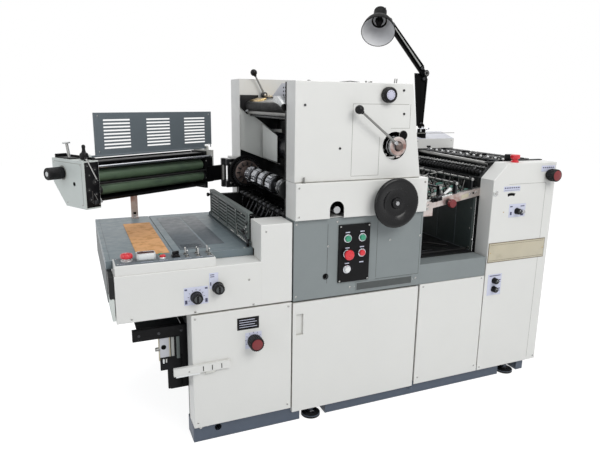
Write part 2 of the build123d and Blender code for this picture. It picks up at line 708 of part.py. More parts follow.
def delivery_front_cover():
    """Long delivery cover with a taller riser beside the machine."""
    low = tray(delivery_x0, riser_x0 + SHEET, DELIVERY_BOTTOM, DELIVERY_TOP, COVER_DEPTH,
               top_depth=DELIVERY_COVER_DEPTH, left_depth=DELIVERY_COVER_DEPTH)
    riser = tray(riser_x0, cabinet_x1, DELIVERY_BOTTOM, RISER_TOP, COVER_DEPTH)
    cap_y1 = front_y + RISER_DEPTH
    cap = block(riser_x0, cabinet_x1, front_y + COVER_DEPTH / 2, cap_y1, RISER_TOP - SHEET, RISER_TOP)
    side = block(riser_x0, riser_x0 + SHEET, front_y + COVER_DEPTH / 2, cap_y1, TABLE_TOP + SEAT_GAP, RISER_TOP)
    return fuse([low, riser, cap, side]) - spindle_bore(left_knob_place) - spindle_bore(right_knob_place)


def delivery_rear_cover():
    """Low rear cover of the delivery end."""
    x1 = cabinet_x1
    return to_rear(tray(delivery_x0, x1, DELIVERY_BOTTOM, DELIVERY_TOP, COVER_DEPTH))


def delivery_table():
    """Flat grey table on the delivery covers, with a seam across it."""
    y0 = front_y + DELIVERY_COVER_DEPTH
    y1 = back_y - TABLE_SETBACK
    x0, x1 = delivery_x0 - TABLE_OVERHANG, cabinet_x1
    z0 = DELIVERY_TOP + SEAT_GAP
    shape = block(x0, riser_x0, y0, y1, z0, TABLE_TOP)
    shape += block(riser_x0 - RUNNING_GAP, x1, front_frame_y1 + RUNNING_GAP, rear_frame_y0 - RUNNING_GAP,
                   z0, TABLE_TOP)
    seam_x = x0 + (riser_x0 - x0) * TABLE_SEAM_SHARE
    half = TABLE_SEAM_WIDTH / 2
    shape -= block(seam_x - half, seam_x + half, y0 - CUT_OVER, y1 + CUT_OVER,
                   TABLE_TOP - TABLE_SEAM_DEPTH, TABLE_TOP + CUT_OVER)
    pin_x, pin_z = grille_axis()
    for lug_y0, lug_y1 in grille_lugs():
        lug = block(pin_x - GRILLE_LUG, riser_x0 - RUNNING_GAP, lug_y0, lug_y1, TABLE_TOP - CUT_OVER, pin_z)
        lug += rod_y(pin_x, lug_y0, lug_y1, pin_z, GRILLE_LUG)
        shape += lug - block(riser_x0 - RUNNING_GAP, riser_x0 + GRILLE_LUG, lug_y0, lug_y1, TABLE_TOP, RISER_TOP)
        shape -= rod_y(pin_x, lug_y0 - CUT_OVER, lug_y1 + CUT_OVER, pin_z, GRILLE_PIN_R + PIN_FIT)
    return shape


def grille_axis():
    """X and Z of the grille's tipping axis."""
    return riser_x0 - GRILLE_OFFSET - GRILLE_THICKNESS / 2, TABLE_TOP + GRILLE_SIDE_GAP + GRILLE_LUG / 2


def grille_lugs():
    """Where the grille's two bearing lugs stand, as pairs along Y."""
    y0, y1 = front_y + GRILLE_FRONT_INSET, back_y - GRILLE_BACK_INSET
    return (y0 - GRILLE_LUG, y0), (y1, y1 + GRILLE_LUG)


def delivery_hood():
    """Bent end sheet that hangs from the table's end."""
    x0, x1 = delivery_x0 - TABLE_OVERHANG, delivery_x0 - SEAT_GAP
    y0, y1 = front_y + DELIVERY_COVER_DEPTH + RUNNING_GAP, back_y - TABLE_SETBACK
    z1 = DELIVERY_TOP
    shape = block(x0, x0 + HOOD_SHEET, y0, y1, z1 - HOOD_DROP, z1)
    shape += block(x0, x1, y0, y1, z1 - HOOD_SHEET, z1)
    return shape + block(x0, x1, y1 - HOOD_SHEET, y1, z1 - HOOD_DROP, z1)


def table_insert():
    """Thin brown board let in on the delivery table."""
    x0 = delivery_x0 - TABLE_OVERHANG + INSERT_LEFT_INSET
    y0 = front_y + DELIVERY_COVER_DEPTH + INSERT_FRONT_INSET
    return block(x0, x0 + INSERT_WIDTH, y0, y0 + INSERT_LENGTH, TABLE_TOP, TABLE_TOP + INSERT_THICKNESS)


def control_box():
    """Sheet box on the delivery cover, with a raised control plate."""
    x0, y0 = delivery_x0 + CONTROL_LEFT_INSET, front_y + CONTROL_FRONT_INSET
    x1, y1 = x0 + CONTROL_LENGTH, front_y + DELIVERY_COVER_DEPTH - CONTROL_FRONT_INSET
    z1 = DELIVERY_TOP + CONTROL_HEIGHT
    body = block(x0, x1, y0, y1, DELIVERY_TOP, z1)
    body = fillet(body.faces().sort_by(Axis.Z)[-1].edges(), EDGE_R)
    edge = CONTROL_TOP_INSET
    return body + block(x0 + edge, x1 - edge, y0 + edge, y1 - edge, z1 - SHEET, z1 + CONTROL_TOP_THICKNESS)


def mushroom_z(x, y, z, radius, stem):
    """A mushroom push button that points up."""
    body = rod_z(x, y, z, z + stem, MUSHROOM_STEM_R)
    head = rod_z(x, y, z + stem, z + stem + MUSHROOM_HEAD, radius)
    head = fillet(head.faces().sort_by(Axis.Z)[-1].edges(), MUSHROOM_ROUND)
    return body + head


def control_switches():
    """Stop button, display, push buttons, selector and toggles on the control box."""
    x0 = delivery_x0 + CONTROL_LEFT_INSET
    y0 = front_y + CONTROL_FRONT_INSET
    y = (y0 + front_y + DELIVERY_COVER_DEPTH - CONTROL_FRONT_INSET) / 2
    z = DELIVERY_TOP + CONTROL_HEIGHT + CONTROL_TOP_THICKNESS
    pieces = [mushroom_z(x0 + STOP_INSET, y, z, MUSHROOM_R, MUSHROOM_STEM)]
    x = x0 + DISPLAY_INSET
    pieces.append(block(x, x + DISPLAY_LENGTH, y - DISPLAY_DEPTH / 2, y + DISPLAY_DEPTH / 2, z, z + DISPLAY_HEIGHT))
    x = x0 + CONTROL_BUTTON_INSET
    pieces.append(rod_z(x, y, z, z + BUTTON_PROUD, BUTTON_R))
    half = SELECTOR_SIZE / 2
    x = x0 + SELECTOR_INSET
    pieces.append(block(x - half, x + half, y - half, y + half, z, z + SELECTOR_HEIGHT))
    for column in range(TOGGLE_COLUMNS):
        for row in range(TOGGLE_ROWS):
            tx = x0 + TOGGLE_INSET + column * TOGGLE_PITCH_X
            ty = y + (row - (TOGGLE_ROWS - 1) / 2) * TOGGLE_PITCH_Y
            bush = rod_z(tx, ty, z, z + TOGGLE_BUSH_HEIGHT, TOGGLE_BUSH_R)
            stick = rod_z(tx, ty, z + TOGGLE_BUSH_HEIGHT, z + TOGGLE_LENGTH, TOGGLE_R)
            pieces.append(bush + stick)
    return Compound(pieces)


def button_panel():
    """Raised black plate on the grey fascia."""
    x0 = door_x0 + PLATE_LEFT_INSET
    z1 = FASCIA_TOP - PLATE_DROP
    plate = block(x0, x0 + PLATE_WIDTH, front_y - PLATE_THICKNESS, front_y, z1 - PLATE_HEIGHT, z1)
    return fillet(plate.faces().sort_by(Axis.Y)[0].edges(), EDGE_R)


def push_buttons():
    """Two columns of push buttons on the plate, one of them a stop mushroom."""
    x_mid = door_x0 + PLATE_LEFT_INSET + PLATE_WIDTH / 2
    z_mid = FASCIA_TOP - PLATE_DROP - PLATE_HEIGHT / 2
    y = front_y - PLATE_THICKNESS
    pieces = []
    for column in (-1, 1):
        for row in (-1, 0, 1):
            x = x_mid + column * BUTTON_COLUMN_PITCH / 2
            z = z_mid + row * BUTTON_ROW_PITCH
            if (column, row) == (-1, 0):
                head_y = y - MUSHROOM_STEM
                stem = rod_y(x, head_y, y, z, MUSHROOM_STEM_R)
                head = rod_y(x, head_y - MUSHROOM_HEAD, head_y, z, MUSHROOM_R)
                pieces.append(stem + head)
            elif (column, row) != (1, -1):
                pieces.append(rod_y(x, y - BUTTON_PROUD, y, z, BUTTON_R))
    return Compound(pieces)


def hub_x():
    return door_x0 + HUB_X_FROM_LEFT


def shaft_ends():
    """Steel bearing seats before the side plate: the lever's, the handwheel's and the arch's."""
    boss = rod_y(hub_x(), front_y + HUB_SEAT_BACK, front_frame_y0, HUB_Z, HUB_R)
    boss += rod_y(hub_x(), front_y, front_y + HUB_SEAT_BACK, HUB_Z, HUB_PIN_R)
    arch_x = door_x0 + ARCH_LEFT_INSET + ARCH_WIDTH / 2
    arch_z = FASCIA_TOP + ARCH_HEIGHT / 2
    stub = rod_y(arch_x, front_y - MIDDLE_COVER_PROUD, front_frame_y0, arch_z, SHAFT_END_R)
    bearing = rod_y(door_x0 + NUMBER_SHAFT_X_INSET, back_y - REAR_COVER_DEPTH, rear_frame_y0, NUMBER_SHAFT_Z,
                    NUMBER_SHAFT_R + GRILLE_LUG)
    bearing -= rod_y(door_x0 + NUMBER_SHAFT_X_INSET, back_y - REAR_COVER_DEPTH - CUT_OVER,
                     rear_frame_y0 + CUT_OVER, NUMBER_SHAFT_Z, NUMBER_JOURNAL_R + PIN_FIT)
    return Compound([boss, stub, bearing])


def handwheel():
    """Dished handwheel with a rounded rim, a hub and its shaft in the side plate."""
    x = door_x1 - WHEEL_FROM_RIGHT
    face = front_y - MIDDLE_COVER_PROUD - WHEEL_STANDOFF
    disc = rod_y(x, face - WHEEL_RIM, face, WHEEL_Z, WHEEL_R)
    disc = fillet(disc.edges().filter_by(GeomType.CIRCLE), WHEEL_RIM_ROUND)
    dish = rod_y(x, face - WHEEL_RIM - CUT_OVER, face - WHEEL_RIM + WHEEL_DISH, WHEEL_Z, WHEEL_R - WHEEL_RIM)
    hub = rod_y(x, face - WHEEL_RIM, face - WHEEL_RIM + WHEEL_HUB_LENGTH, WHEEL_Z, WHEEL_HUB_R)
    shaft = rod_y(x, face - WHEEL_RIM + WHEEL_DISH, front_frame_y1 - RUNNING_GAP, WHEEL_Z, WHEEL_SHAFT_R)
    return disc - dish + hub + shaft


def polar(length, angle):
    """X and Z of a point at a length and an angle in degrees from +X."""
    return length * math.cos(math.radians(angle)), length * math.sin(math.radians(angle))


def ball_arm(x, y, z, length, angle, radius, ball_r):
    """A round arm from a hub's axis, with a ball on its end whose poles lie along the arm."""
    dx, dz = polar(length, angle)
    end = (x + dx, y, z + dz)
    return bar_between((x, y, z), end, radius) + Plane(origin=end, z_dir=Vector(dx, 0, dz)) * Sphere(ball_r)


def operating_lever():
    """Ball lever on its round hub, before the tall cover."""
    x, z = hub_x(), HUB_Z
    hub_y1 = front_y + HUB_SEAT_BACK - RUNNING_GAP
    hub = rod_y(x, front_y - HUB_PROUD, hub_y1, z, HUB_R)
    arm_y = front_y - HUB_PROUD - LEVER_HUB_LENGTH / 2
    boss = rod_y(x, front_y - HUB_PROUD - LEVER_HUB_LENGTH, front_y - HUB_PROUD, z, LEVER_HUB_R)
    arm = ball_arm(x, arm_y, z, LEVER_LENGTH, LEVER_ANGLE, LEVER_ROD_R, LEVER_BALL_R)
    pin_hole = rod_y(x, front_y - RUNNING_GAP, hub_y1 + CUT_OVER, z, HUB_PIN_R + PIN_FIT)
    return fuse([hub, boss, arm]) - pin_hole


def dial_knob():
    """Round dial knob at the top of the tall cover."""
    return knob_on_y(dial_place, DIAL_R, DIAL_LENGTH)


def cabinet_knob():
    """Knob on the lower left cabinet."""
    return knob_on_y(cabinet_knob_place, FACED_KNOB_R, FACED_KNOB_LENGTH)


def feeder_knob():
    """Knob near the top of the feeder tower."""
    return knob_on_y(feeder_knob_place, FACED_KNOB_R, FACED_KNOB_LENGTH)


def delivery_knob_left():
    """Lower of the two knobs on the delivery cover."""
    return knob_on_y(left_knob_place, DELIVERY_KNOB_R, DELIVERY_KNOB_LENGTH)


def delivery_knob_right():
    """Upper of the two knobs on the delivery cover."""
    return knob_on_y(right_knob_place, DELIVERY_KNOB_R, DELIVERY_KNOB_LENGTH)


def grille_guard():
    """Pressed grille across the head of the table, that tips about two pins at its foot."""
    pin_x, pin_z = grille_axis()
    front_lug, rear_lug = grille_lugs()
    y0, y1 = front_lug[1] + GRILLE_SIDE_GAP, rear_lug[0] - GRILLE_SIDE_GAP
    x0, x1 = pin_x - GRILLE_THICKNESS / 2, pin_x + GRILLE_THICKNESS / 2
    z0 = TABLE_TOP + GRILLE_SIDE_GAP
    z1 = z0 + GRILLE_HEIGHT
    plate = block(x0, x1, y0, y1, z0, z1)
    plate += block(x0, x1 + GRILLE_LIP, y0, y1, z1 - SHEET, z1)
    column = (y1 - y0 - 2 * GRILLE_MARGIN_X - (GRILLE_COLUMNS - 1) * GRILLE_BAR) / GRILLE_COLUMNS
    pitch = (z1 - z0 - 2 * GRILLE_MARGIN_Z - GRILLE_SLOT_HEIGHT) / (GRILLE_ROWS - 1)
    for i in range(GRILLE_COLUMNS):
        for j in range(GRILLE_ROWS):
            ya = y0 + GRILLE_MARGIN_X + i * (column + GRILLE_BAR)
            za = z0 + GRILLE_MARGIN_Z + j * pitch
            plate -= block(x0 - CUT_OVER, x1 + CUT_OVER, ya, ya + column, za, za + GRILLE_SLOT_HEIGHT)
    return plate + rod_y(pin_x, front_lug[0], rear_lug[1], pin_z, GRILLE_PIN_R)


def numbering_shaft():
    """Shaft with stepped numbering boxes, end flanges and a spur gear."""
    x, z = door_x0 + NUMBER_SHAFT_X_INSET, NUMBER_SHAFT_Z
    y0, y1 = front_frame_y1 + SHAFT_END_GAP, back_y - REAR_COVER_DEPTH - SHAFT_END_GAP
    pieces = [rod_y(x, y0, y1, z, NUMBER_SHAFT_R)]
    pieces.append(rod_y(x, y0 - NUMBER_JOURNAL_LENGTH, y1 + NUMBER_JOURNAL_LENGTH, z, NUMBER_JOURNAL_R))
    gear_y = y1 - NUMBER_GEAR_WIDTH * 2 + SHAFT_END_GAP
    gear = rod_y(x, gear_y, gear_y + NUMBER_GEAR_WIDTH, z, NUMBER_GEAR_R)
    pieces.append(gear)
    for i in range(NUMBER_BOX_COUNT):
        mid = gear_y - NUMBER_BOX_FROM_GEAR - i * NUMBER_BOX_PITCH
        width = (NUMBER_BOX_WHEELS - 1) * NUMBER_WHEEL_STEP + NUMBER_WHEEL_WIDTH
        start = mid - width / 2
        pieces.append(rod_y(x, start, start + width, z, NUMBER_WHEEL_R - NUMBER_WHEEL_WIDTH))
        for k in range(NUMBER_BOX_WHEELS):
            y = start + k * NUMBER_WHEEL_STEP
            pieces.append(rod_y(x, y, y + NUMBER_WHEEL_WIDTH, z, NUMBER_WHEEL_R))
    return fuse(pieces)


def roller_train():
    """Cylinders and inking rollers between the side plates."""
    rollers = []
    y0, y1 = front_frame_y1, rear_frame_y0
    for x_inset, z, radius in ROLLER_PLACES:
        x = door_x0 + x_inset
        body = rod_y(x, y0 + CYLINDER_END_GAP, back_y - REAR_COVER_DEPTH - CYLINDER_END_GAP, z, radius)
        rollers.append(body + rod_y(x, y0, y1, z, radius * ROLLER_JOURNAL_SHARE))
    return Compound(rollers)


def ink_fountain():
    """Fountain tray and its roller across the head of the printing unit."""
    y0, y1 = front_frame_y1, back_y - REAR_COVER_DEPTH - SEAT_GAP
    x = door_x0 + FOUNTAIN_X_INSET
    roller = rod_y(x, y0, y1 - CYLINDER_END_GAP, FOUNTAIN_Z, FOUNTAIN_ROLLER_R)
    roller += rod_y(x, y0, rear_frame_y0, FOUNTAIN_Z, FOUNTAIN_ROLLER_R * ROLLER_JOURNAL_SHARE)
    tray_x0 = x + FOUNTAIN_ROLLER_R + RUNNING_GAP
    tray_x1 = tray_x0 + FOUNTAIN_TRAY_WIDTH
    z0 = FOUNTAIN_Z
    t = FOUNTAIN_SHEET
    points = [(tray_x0, z0), (tray_x1, z0 + FOUNTAIN_TRAY_HEIGHT), (tray_x1 - t, z0 + FOUNTAIN_TRAY_HEIGHT + t),
              (tray_x0, z0 + t)]
    return Compound([roller, profile_xz(points, y0, y1)])


def fountain_pivot():
    return door_x0 + FOUNTAIN_LEVER_INSET, back_y - REAR_COVER_DEPTH - FOUNTAIN_LEVER_HUB_LENGTH


def fountain_lever():
    """Small ball lever beside the ink fountain's rear end."""
    x, y = fountain_pivot()
    z = FOUNTAIN_LEVER_Z
    hub = rod_y(x, y, y + FOUNTAIN_LEVER_HUB_LENGTH - RUNNING_GAP, z, FOUNTAIN_LEVER_HUB_R)
    arm_y = y + FOUNTAIN_LEVER_ARM_INSET
    arm = ball_arm(x, arm_y, z, FOUNTAIN_LEVER_LENGTH, FOUNTAIN_LEVER_ANGLE, LEVER_ROD_R, FOUNTAIN_LEVER_BALL_R)
    spindle = rod_y(x, y, back_y - REAR_COVER_DEPTH + SPINDLE_REACH, z, SPINDLE_R)
    return fuse([hub, arm, spindle])


def unit_place(shape):
    """Moves a shape of the inking unit from its own frame to the machine.

    In its own frame the unit's hinge is the Z axis, its length runs along -Y
    and the machine is on its +X side, as when it is closed.
    """
    hinge_x, hinge_y = unit_hinge()
    return Pos(hinge_x, hinge_y, 0) * Rot(0, 0, -UNIT_SWING) * shape


def unit_hinge():
    return door_x0 - UNIT_HINGE_X_GAP, back_y - UNIT_HINGE_Y_INSET


def unit_bracket():
    """Hinge bracket on the rear plate that carries the swung-out inking unit."""
    x, y = unit_hinge()
    z0, z1 = UNIT_BRACKET_BOTTOM, UNIT_BRACKET_BOTTOM + UNIT_BRACKET_HEIGHT
    shape = block(x + UNIT_WEB_GAP, door_x0 + inset, rear_frame_y0, rear_frame_y1, z0, z1)
    for low, high in ((z0, z0 + UNIT_KNUCKLE), (z1 - UNIT_KNUCKLE, z1)):
        shape += block(x, x + UNIT_WEB_GAP * 2, rear_frame_y0, y, low, high)
        shape += block(x - UNIT_HINGE_R, x + UNIT_HINGE_R, y - UNIT_HINGE_R, y, low, high)
        shape += rod_z(x, y, low, high, UNIT_HINGE_R)
    return shape + rod_z(x, y, z0, z1, UNIT_HINGE_PIN_R)


def ink_unit_frame():
    """End covers, hinge knuckle, tie bars and ears of the swung-out unit."""
    z0 = UNIT_BRACKET_BOTTOM + UNIT_KNUCKLE + RUNNING_GAP
    z1 = UNIT_BRACKET_BOTTOM + UNIT_BRACKET_HEIGHT - UNIT_KNUCKLE - RUNNING_GAP
    plate_y = -UNIT_HINGE_PLATE_S
    knuckle = rod_z(0, 0, z0, z1, UNIT_HINGE_R)
    leaf = block(-UNIT_HINGE_R, 0, plate_y, 0, z0, z1)
    bore = rod_z(0, 0, z0 - CUT_OVER, z1 + CUT_OVER, UNIT_HINGE_PIN_R + PIN_FIT)
    x1 = UNIT_COVER_FRONT
    x0 = x1 - UNIT_COVER_WIDTH
    low_x = x0 + UNIT_COVER_SLANT
    arm_z = UNIT_COVER_TOP - UNIT_ARM_HEIGHT
    outline = [(low_x, UNIT_COVER_BOTTOM), (UNIT_PLATE_N, UNIT_COVER_BOTTOM), (UNIT_PLATE_N, arm_z),
               (UNIT_ARM_N, arm_z), (UNIT_ARM_N, UNIT_COVER_TOP), (low_x, UNIT_COVER_TOP)]
    plate = profile_xz(outline, plate_y - UNIT_PLATE, plate_y)
    outline = [(low_x, UNIT_COVER_BOTTOM), (x1, UNIT_COVER_BOTTOM), (x1, UNIT_COVER_TOP),
               (x0, UNIT_COVER_TOP), (x0, UNIT_COVER_BOTTOM + UNIT_COVER_SLANT_TOP)]
    y0 = -UNIT_LENGTH
    y1 = y0 + UNIT_COVER_DEPTH
    cover = profile_xz(outline, y0, y1)
    t = SHEET
    hollow = [(low_x + t, UNIT_COVER_BOTTOM + t), (x1 - t, UNIT_COVER_BOTTOM + t),
              (x1 - t, UNIT_COVER_TOP - t), (x0 + t, UNIT_COVER_TOP - t),
              (x0 + t, UNIT_COVER_BOTTOM + UNIT_COVER_SLANT_TOP + t)]
    cover -= profile_xz(hollow, y0 + t, y1 + CUT_OVER)
    inner = block(low_x + t, x1 - t, y1 - UNIT_PLATE, y1, UNIT_COVER_BOTTOM + t, UNIT_COVER_TOP - t)
    pieces = [knuckle, leaf, plate, cover, inner]
    for n in (UNIT_BAR_N, low_x + UNIT_BAR_N):
        pieces.append(rod_y(n, y1 - UNIT_PLATE, plate_y, UNIT_BAR_Z, UNIT_BAR_R))
    axis_n, axis_z = guard_axis()
    for ear_y0, ear_y1 in guard_ears():
        pieces.append(rod_y(axis_n, ear_y0, ear_y1, axis_z, UNIT_EAR_WIDTH))
        pieces.append(block(axis_n - UNIT_EAR_WIDTH, axis_n + UNIT_EAR_WIDTH, ear_y0, ear_y1,
                            UNIT_COVER_TOP - UNIT_ARM_HEIGHT, axis_z))
    shape = fuse(pieces) - bore
    shape -= rod_y(UNIT_KNOB_N, y0 - CUT_OVER, y0 + SHEET + CUT_OVER, UNIT_KNOB_Z, SPINDLE_R + PIN_FIT)
    for ear_y0, ear_y1 in guard_ears():
        shape -= rod_y(axis_n, ear_y0 - CUT_OVER, ear_y1 + CUT_OVER, axis_z, UNIT_GUARD_BAR_R + PIN_FIT)
    return unit_place(shape)


def guard_axis():
    """Offset and height of the guard's folding axis in the unit's own frame."""
    return -UNIT_GUARD_SHEET / 2, UNIT_COVER_TOP + UNIT_EAR_WIDTH


def guard_ears():
    """Where the two ears of the guard's bar stand, as pairs along the unit."""
    y0, y1 = -UNIT_LENGTH + UNIT_COVER_DEPTH, -UNIT_HINGE_PLATE_S
    return (y0 - UNIT_PLATE, y0), (y1 - UNIT_PLATE, y1)


def ink_unit_rollers():
    """Rubber inking rollers between the unit's end plates."""
    y0 = -UNIT_LENGTH + UNIT_COVER_DEPTH
    y1 = -UNIT_HINGE_PLATE_S - UNIT_PLATE
    gap = UNIT_ROLLER_GAP
    rollers = []
    for x, z, radius in UNIT_ROLLERS:
        body = rod_y(x, y0 + gap, y1 - gap, z, radius)
        rollers.append(body + rod_y(x, y0, y1, z, radius * ROLLER_JOURNAL_SHARE))
    return unit_place(Compound(rollers))


def ink_unit_guard():
    """Slotted guard that folds down over the rollers, on a bar at its foot."""
    y1 = -UNIT_GUARD_START
    y0 = y1 - UNIT_GUARD_LENGTH
    axis_n, axis_z = guard_axis()
    z0, z1 = axis_z, UNIT_GUARD_BOTTOM + UNIT_GUARD_HEIGHT
    n0, n1 = axis_n - UNIT_GUARD_SHEET / 2, axis_n + UNIT_GUARD_SHEET / 2
    plate = block(n0, n1, y0, y1, z0, z1)
    free_ear, hinge_ear = guard_ears()
    notch_top = axis_z + UNIT_EAR_WIDTH + UNIT_EAR_GAP
    plate -= block(n0 - CUT_OVER, n1 + CUT_OVER, hinge_ear[0] - UNIT_EAR_GAP, y1 + CUT_OVER, z0 - CUT_OVER, notch_top)
    group = UNIT_GUARD_LENGTH / UNIT_GUARD_GROUPS
    half, rise = UNIT_GUARD_SLOT_LENGTH / 2, UNIT_GUARD_SLOT_HEIGHT / 2
    for i in range(UNIT_GUARD_GROUPS):
        mid_y = y0 + group * (i + 1 / 2)
        for j in range(UNIT_GUARD_SLOTS):
            z = (z0 + z1) / 2 + (j - (UNIT_GUARD_SLOTS - 1) / 2) * UNIT_GUARD_SLOT_PITCH
            plate -= block(n0 - CUT_OVER, n1 + CUT_OVER, mid_y - half, mid_y + half, z - rise, z + rise)
    return unit_place(plate + rod_y(axis_n, free_ear[0], hinge_ear[1], axis_z, UNIT_GUARD_BAR_R))


def ink_unit_knob():
    """Knob on the unit's free end."""
    y1 = -UNIT_LENGTH - RUNNING_GAP
    knob = rod_y(UNIT_KNOB_N, y1 - UNIT_KNOB_LENGTH, y1, UNIT_KNOB_Z, UNIT_KNOB_R)
    knob = fillet(knob.faces().sort_by(Axis.Y)[0].edges(), UNIT_KNOB_R * KNOB_ROUND_SHARE)
    knob += rod_y(UNIT_KNOB_N, y1, SPINDLE_REACH - UNIT_LENGTH, UNIT_KNOB_Z, SPINDLE_R)
    return unit_place(knob)


def rest_post():
    """Flat steel post on the rear edge of the delivery table."""
    x = delivery_x0 + POST_LEFT_INSET
    y = back_y - POST_BACK_INSET
    half, thick = POST_WIDTH / 2, POST_THICKNESS / 2
    foot = block(x - half, x + half, y - POST_WIDTH, y, TABLE_TOP, TABLE_TOP + POST_FOOT)
    return foot + block(x - half, x + half, y - thick * 2, y, TABLE_TOP, TABLE_TOP + POST_HEIGHT)


def feeder_cabinet():
    """Cover of a feeder tower with a chamfered shoulder, its sheet hung before the base."""
    points = [(feeder_x0, lower_z0), (feeder_x1, lower_z0), (feeder_x1, FEEDER_TOP),
              (feeder_x0 + FEEDER_CHAMFER, FEEDER_TOP), (feeder_x0, FEEDER_TOP - FEEDER_CHAMFER)]
    shape = profile_xz(points, front_y, front_y + COVER_DEPTH)
    shape = fillet(shape.faces().sort_by(Axis.Y)[0].edges(), EDGE_R)
    t = SHEET
    slant = t * math.tan(math.radians(HALF_CHAMFER_ANGLE))
    hollow = [(feeder_x0 + t, lower_z0 + t), (feeder_x1 - t, lower_z0 + t), (feeder_x1 - t, FEEDER_TOP - t),
              (feeder_x0 + FEEDER_CHAMFER + slant, FEEDER_TOP - t),
              (feeder_x0 + t, FEEDER_TOP - FEEDER_CHAMFER - slant)]
    shape -= profile_xz(hollow, front_y + t, front_y + COVER_DEPTH + CUT_OVER)
    return shape + block(feeder_x0, feeder_x1, front_y, front_y + t, lower_z0 - SKIRT_DROP, lower_z0 + SKIRT_DROP)


def feeder_front_cabinet():
    """The feeder tower's cover at the operator's side."""
    return feeder_cabinet() - spindle_bore(feeder_knob_place)


def feeder_rear_cabinet():
    """The same cover at the rear."""
    return to_rear(feeder_cabinet())


def feeder_head():
    """Cross bars of the feeder head, with the suction block between them."""
    y0, y1 = front_frame_y1, rear_frame_y0
    z = FEEDER_TOP - inset - HEAD_BAR_RISE
    half = HEAD_BAR / 2
    bars = []
    for i in range(HEAD_BAR_COUNT):
        x = feeder_x0 + HEAD_BAR_X_INSET + FEEDER_CHAMFER + i * HEAD_BAR_PITCH
        bars.append(block(x - half, x + half, y0, y1, z - half, z + half))
    return Compound(bars)


def feeder_controls():
    """Stop button, gauge and small knobs of the feeder."""
    x0 = feeder_x0
    pieces = [mushroom_z(x0 + STOP_X_INSET, front_y + COVER_DEPTH / 2, FEEDER_TOP, MUSHROOM_R, MUSHROOM_STEM)]
    for dx, z in FEEDER_SMALL_KNOBS:
        knob = rod_y(x0 + dx, front_y - FEEDER_SMALL_KNOB_LENGTH, front_y, z, FEEDER_SMALL_KNOB_R)
        pieces.append(fillet(knob.faces().sort_by(Axis.Y)[0].edges(), FEEDER_SMALL_KNOB_R * KNOB_ROUND_SHARE))
    return Compound(pieces)


def board_z(x):
    """Height of the feed board's top at x."""
    return BOARD_RIGHT_Z - (feeder_x0 - x) * math.tan(math.radians(BOARD_ANGLE))


def along_board(x0, x1, low, high, y0, y1):
    """A strip that follows the feed board, between two heights above its top."""
    points = [(x0, board_z(x0) + low), (x1, board_z(x1) + low), (x1, board_z(x1) + high), (x0, board_z(x0) + high)]
    return profile_xz(points, y0, y1)


def board_ends():
    return door_x1 - BOARD_TAIL, feeder_x0 + inset - SEAT_GAP


def register_board():
    """Inclined feed board between the tower and the feeder."""
    x0, x1 = board_ends()
    return along_board(x0, x1, -BOARD_THICKNESS, 0, front_frame_y1 + SEAT_GAP, rear_frame_y0 - SEAT_GAP)


def feed_tapes():
    """Flat tapes that lie along the feed board."""
    x0, x1 = board_ends()
    width = rear_frame_y0 - front_frame_y1
    pitch = width / TAPE_COUNT
    tapes = []
    for i in range(TAPE_COUNT):
        y = front_frame_y1 + pitch * (i + 1 / 2)
        tapes.append(along_board(x0, x1, 0, TAPE_THICKNESS, y - TAPE_WIDTH / 2, y + TAPE_WIDTH / 2))
    return Compound(tapes)


def register_rail():
    """Side rails of the feed board, in line with the side plates, with a bracket at the tower."""
    x0, x1 = door_x1, feeder_x0 + inset - SEAT_GAP
    rails = []
    for y0, y1 in ((front_frame_y0, front_frame_y1), (rear_frame_y0, rear_frame_y1)):
        rail = along_board(x0, x1, -RAIL_HEIGHT / 2, RAIL_HEIGHT / 2, y0, y1)
        low = board_z(x0) - RAIL_HEIGHT / 2
        rail += block(x0, x0 + RAIL_BRACKET_WIDTH, y0, y1, low - RAIL_BRACKET_DROP, low + RAIL_HEIGHT / 2)
        rails.append(rail)
    return Compound(rails)


def pile_guide_plate():
    """Upright plate across the press before the feed pile, from the ledge to the feed board."""
    x1 = feeder_x0 - GUIDE_PLATE_INSET
    x0 = x1 - GUIDE_PLATE_THICKNESS
    top = board_z(x0) - BOARD_THICKNESS - SEAT_GAP
    return block(x0, x1, front_frame_y1 + SEAT_GAP, rear_frame_y0 - SEAT_GAP, LEDGE_TOP - inset - GUIDE_PLATE_SEAT, top)


def wheel_bars():
    """Cross bars over the tapes on feet, each with arms that carry press wheels."""
    pieces = []
    for i in range(BAR_COUNT):
        x = door_x1 + BAR_FIRST_INSET + i * BAR_PITCH
        z = board_z(x) + BAR_RISE
        bar = rod_y(x, front_frame_y0, rear_frame_y1, z, BAR_R)
        pieces.append(bar)
        for y0, y1 in ((front_frame_y0, front_frame_y1), (rear_frame_y0, rear_frame_y1)):
            foot = board_z(x + BAR_ARM_WIDTH / 2) + RAIL_HEIGHT / 2 + SEAT_GAP
            pieces.append(block(x - BAR_ARM_WIDTH / 2, x + BAR_ARM_WIDTH / 2, y0, y1, foot, z) - bar)
        span = rear_frame_y0 - front_frame_y1
        for k in range(BAR_WHEELS):
            y = front_frame_y1 + span * (k + 1 / 2) / BAR_WHEELS
            wheel_x = x - BAR_WHEEL_R
            wheel_z = board_z(wheel_x) + TAPE_THICKNESS + (BAR_WHEEL_R + SEAT_GAP) / math.cos(math.radians(BOARD_ANGLE))
            wheel = rod_y(wheel_x, y - BAR_WHEEL_WIDTH / 2, y + BAR_WHEEL_WIDTH / 2, wheel_z, BAR_WHEEL_R)
            pieces.append(wheel + bar_between((x, y, z), (wheel_x, y, wheel_z), BAR_ARM_WIDTH / 2) - bar)
    return Compound(pieces)


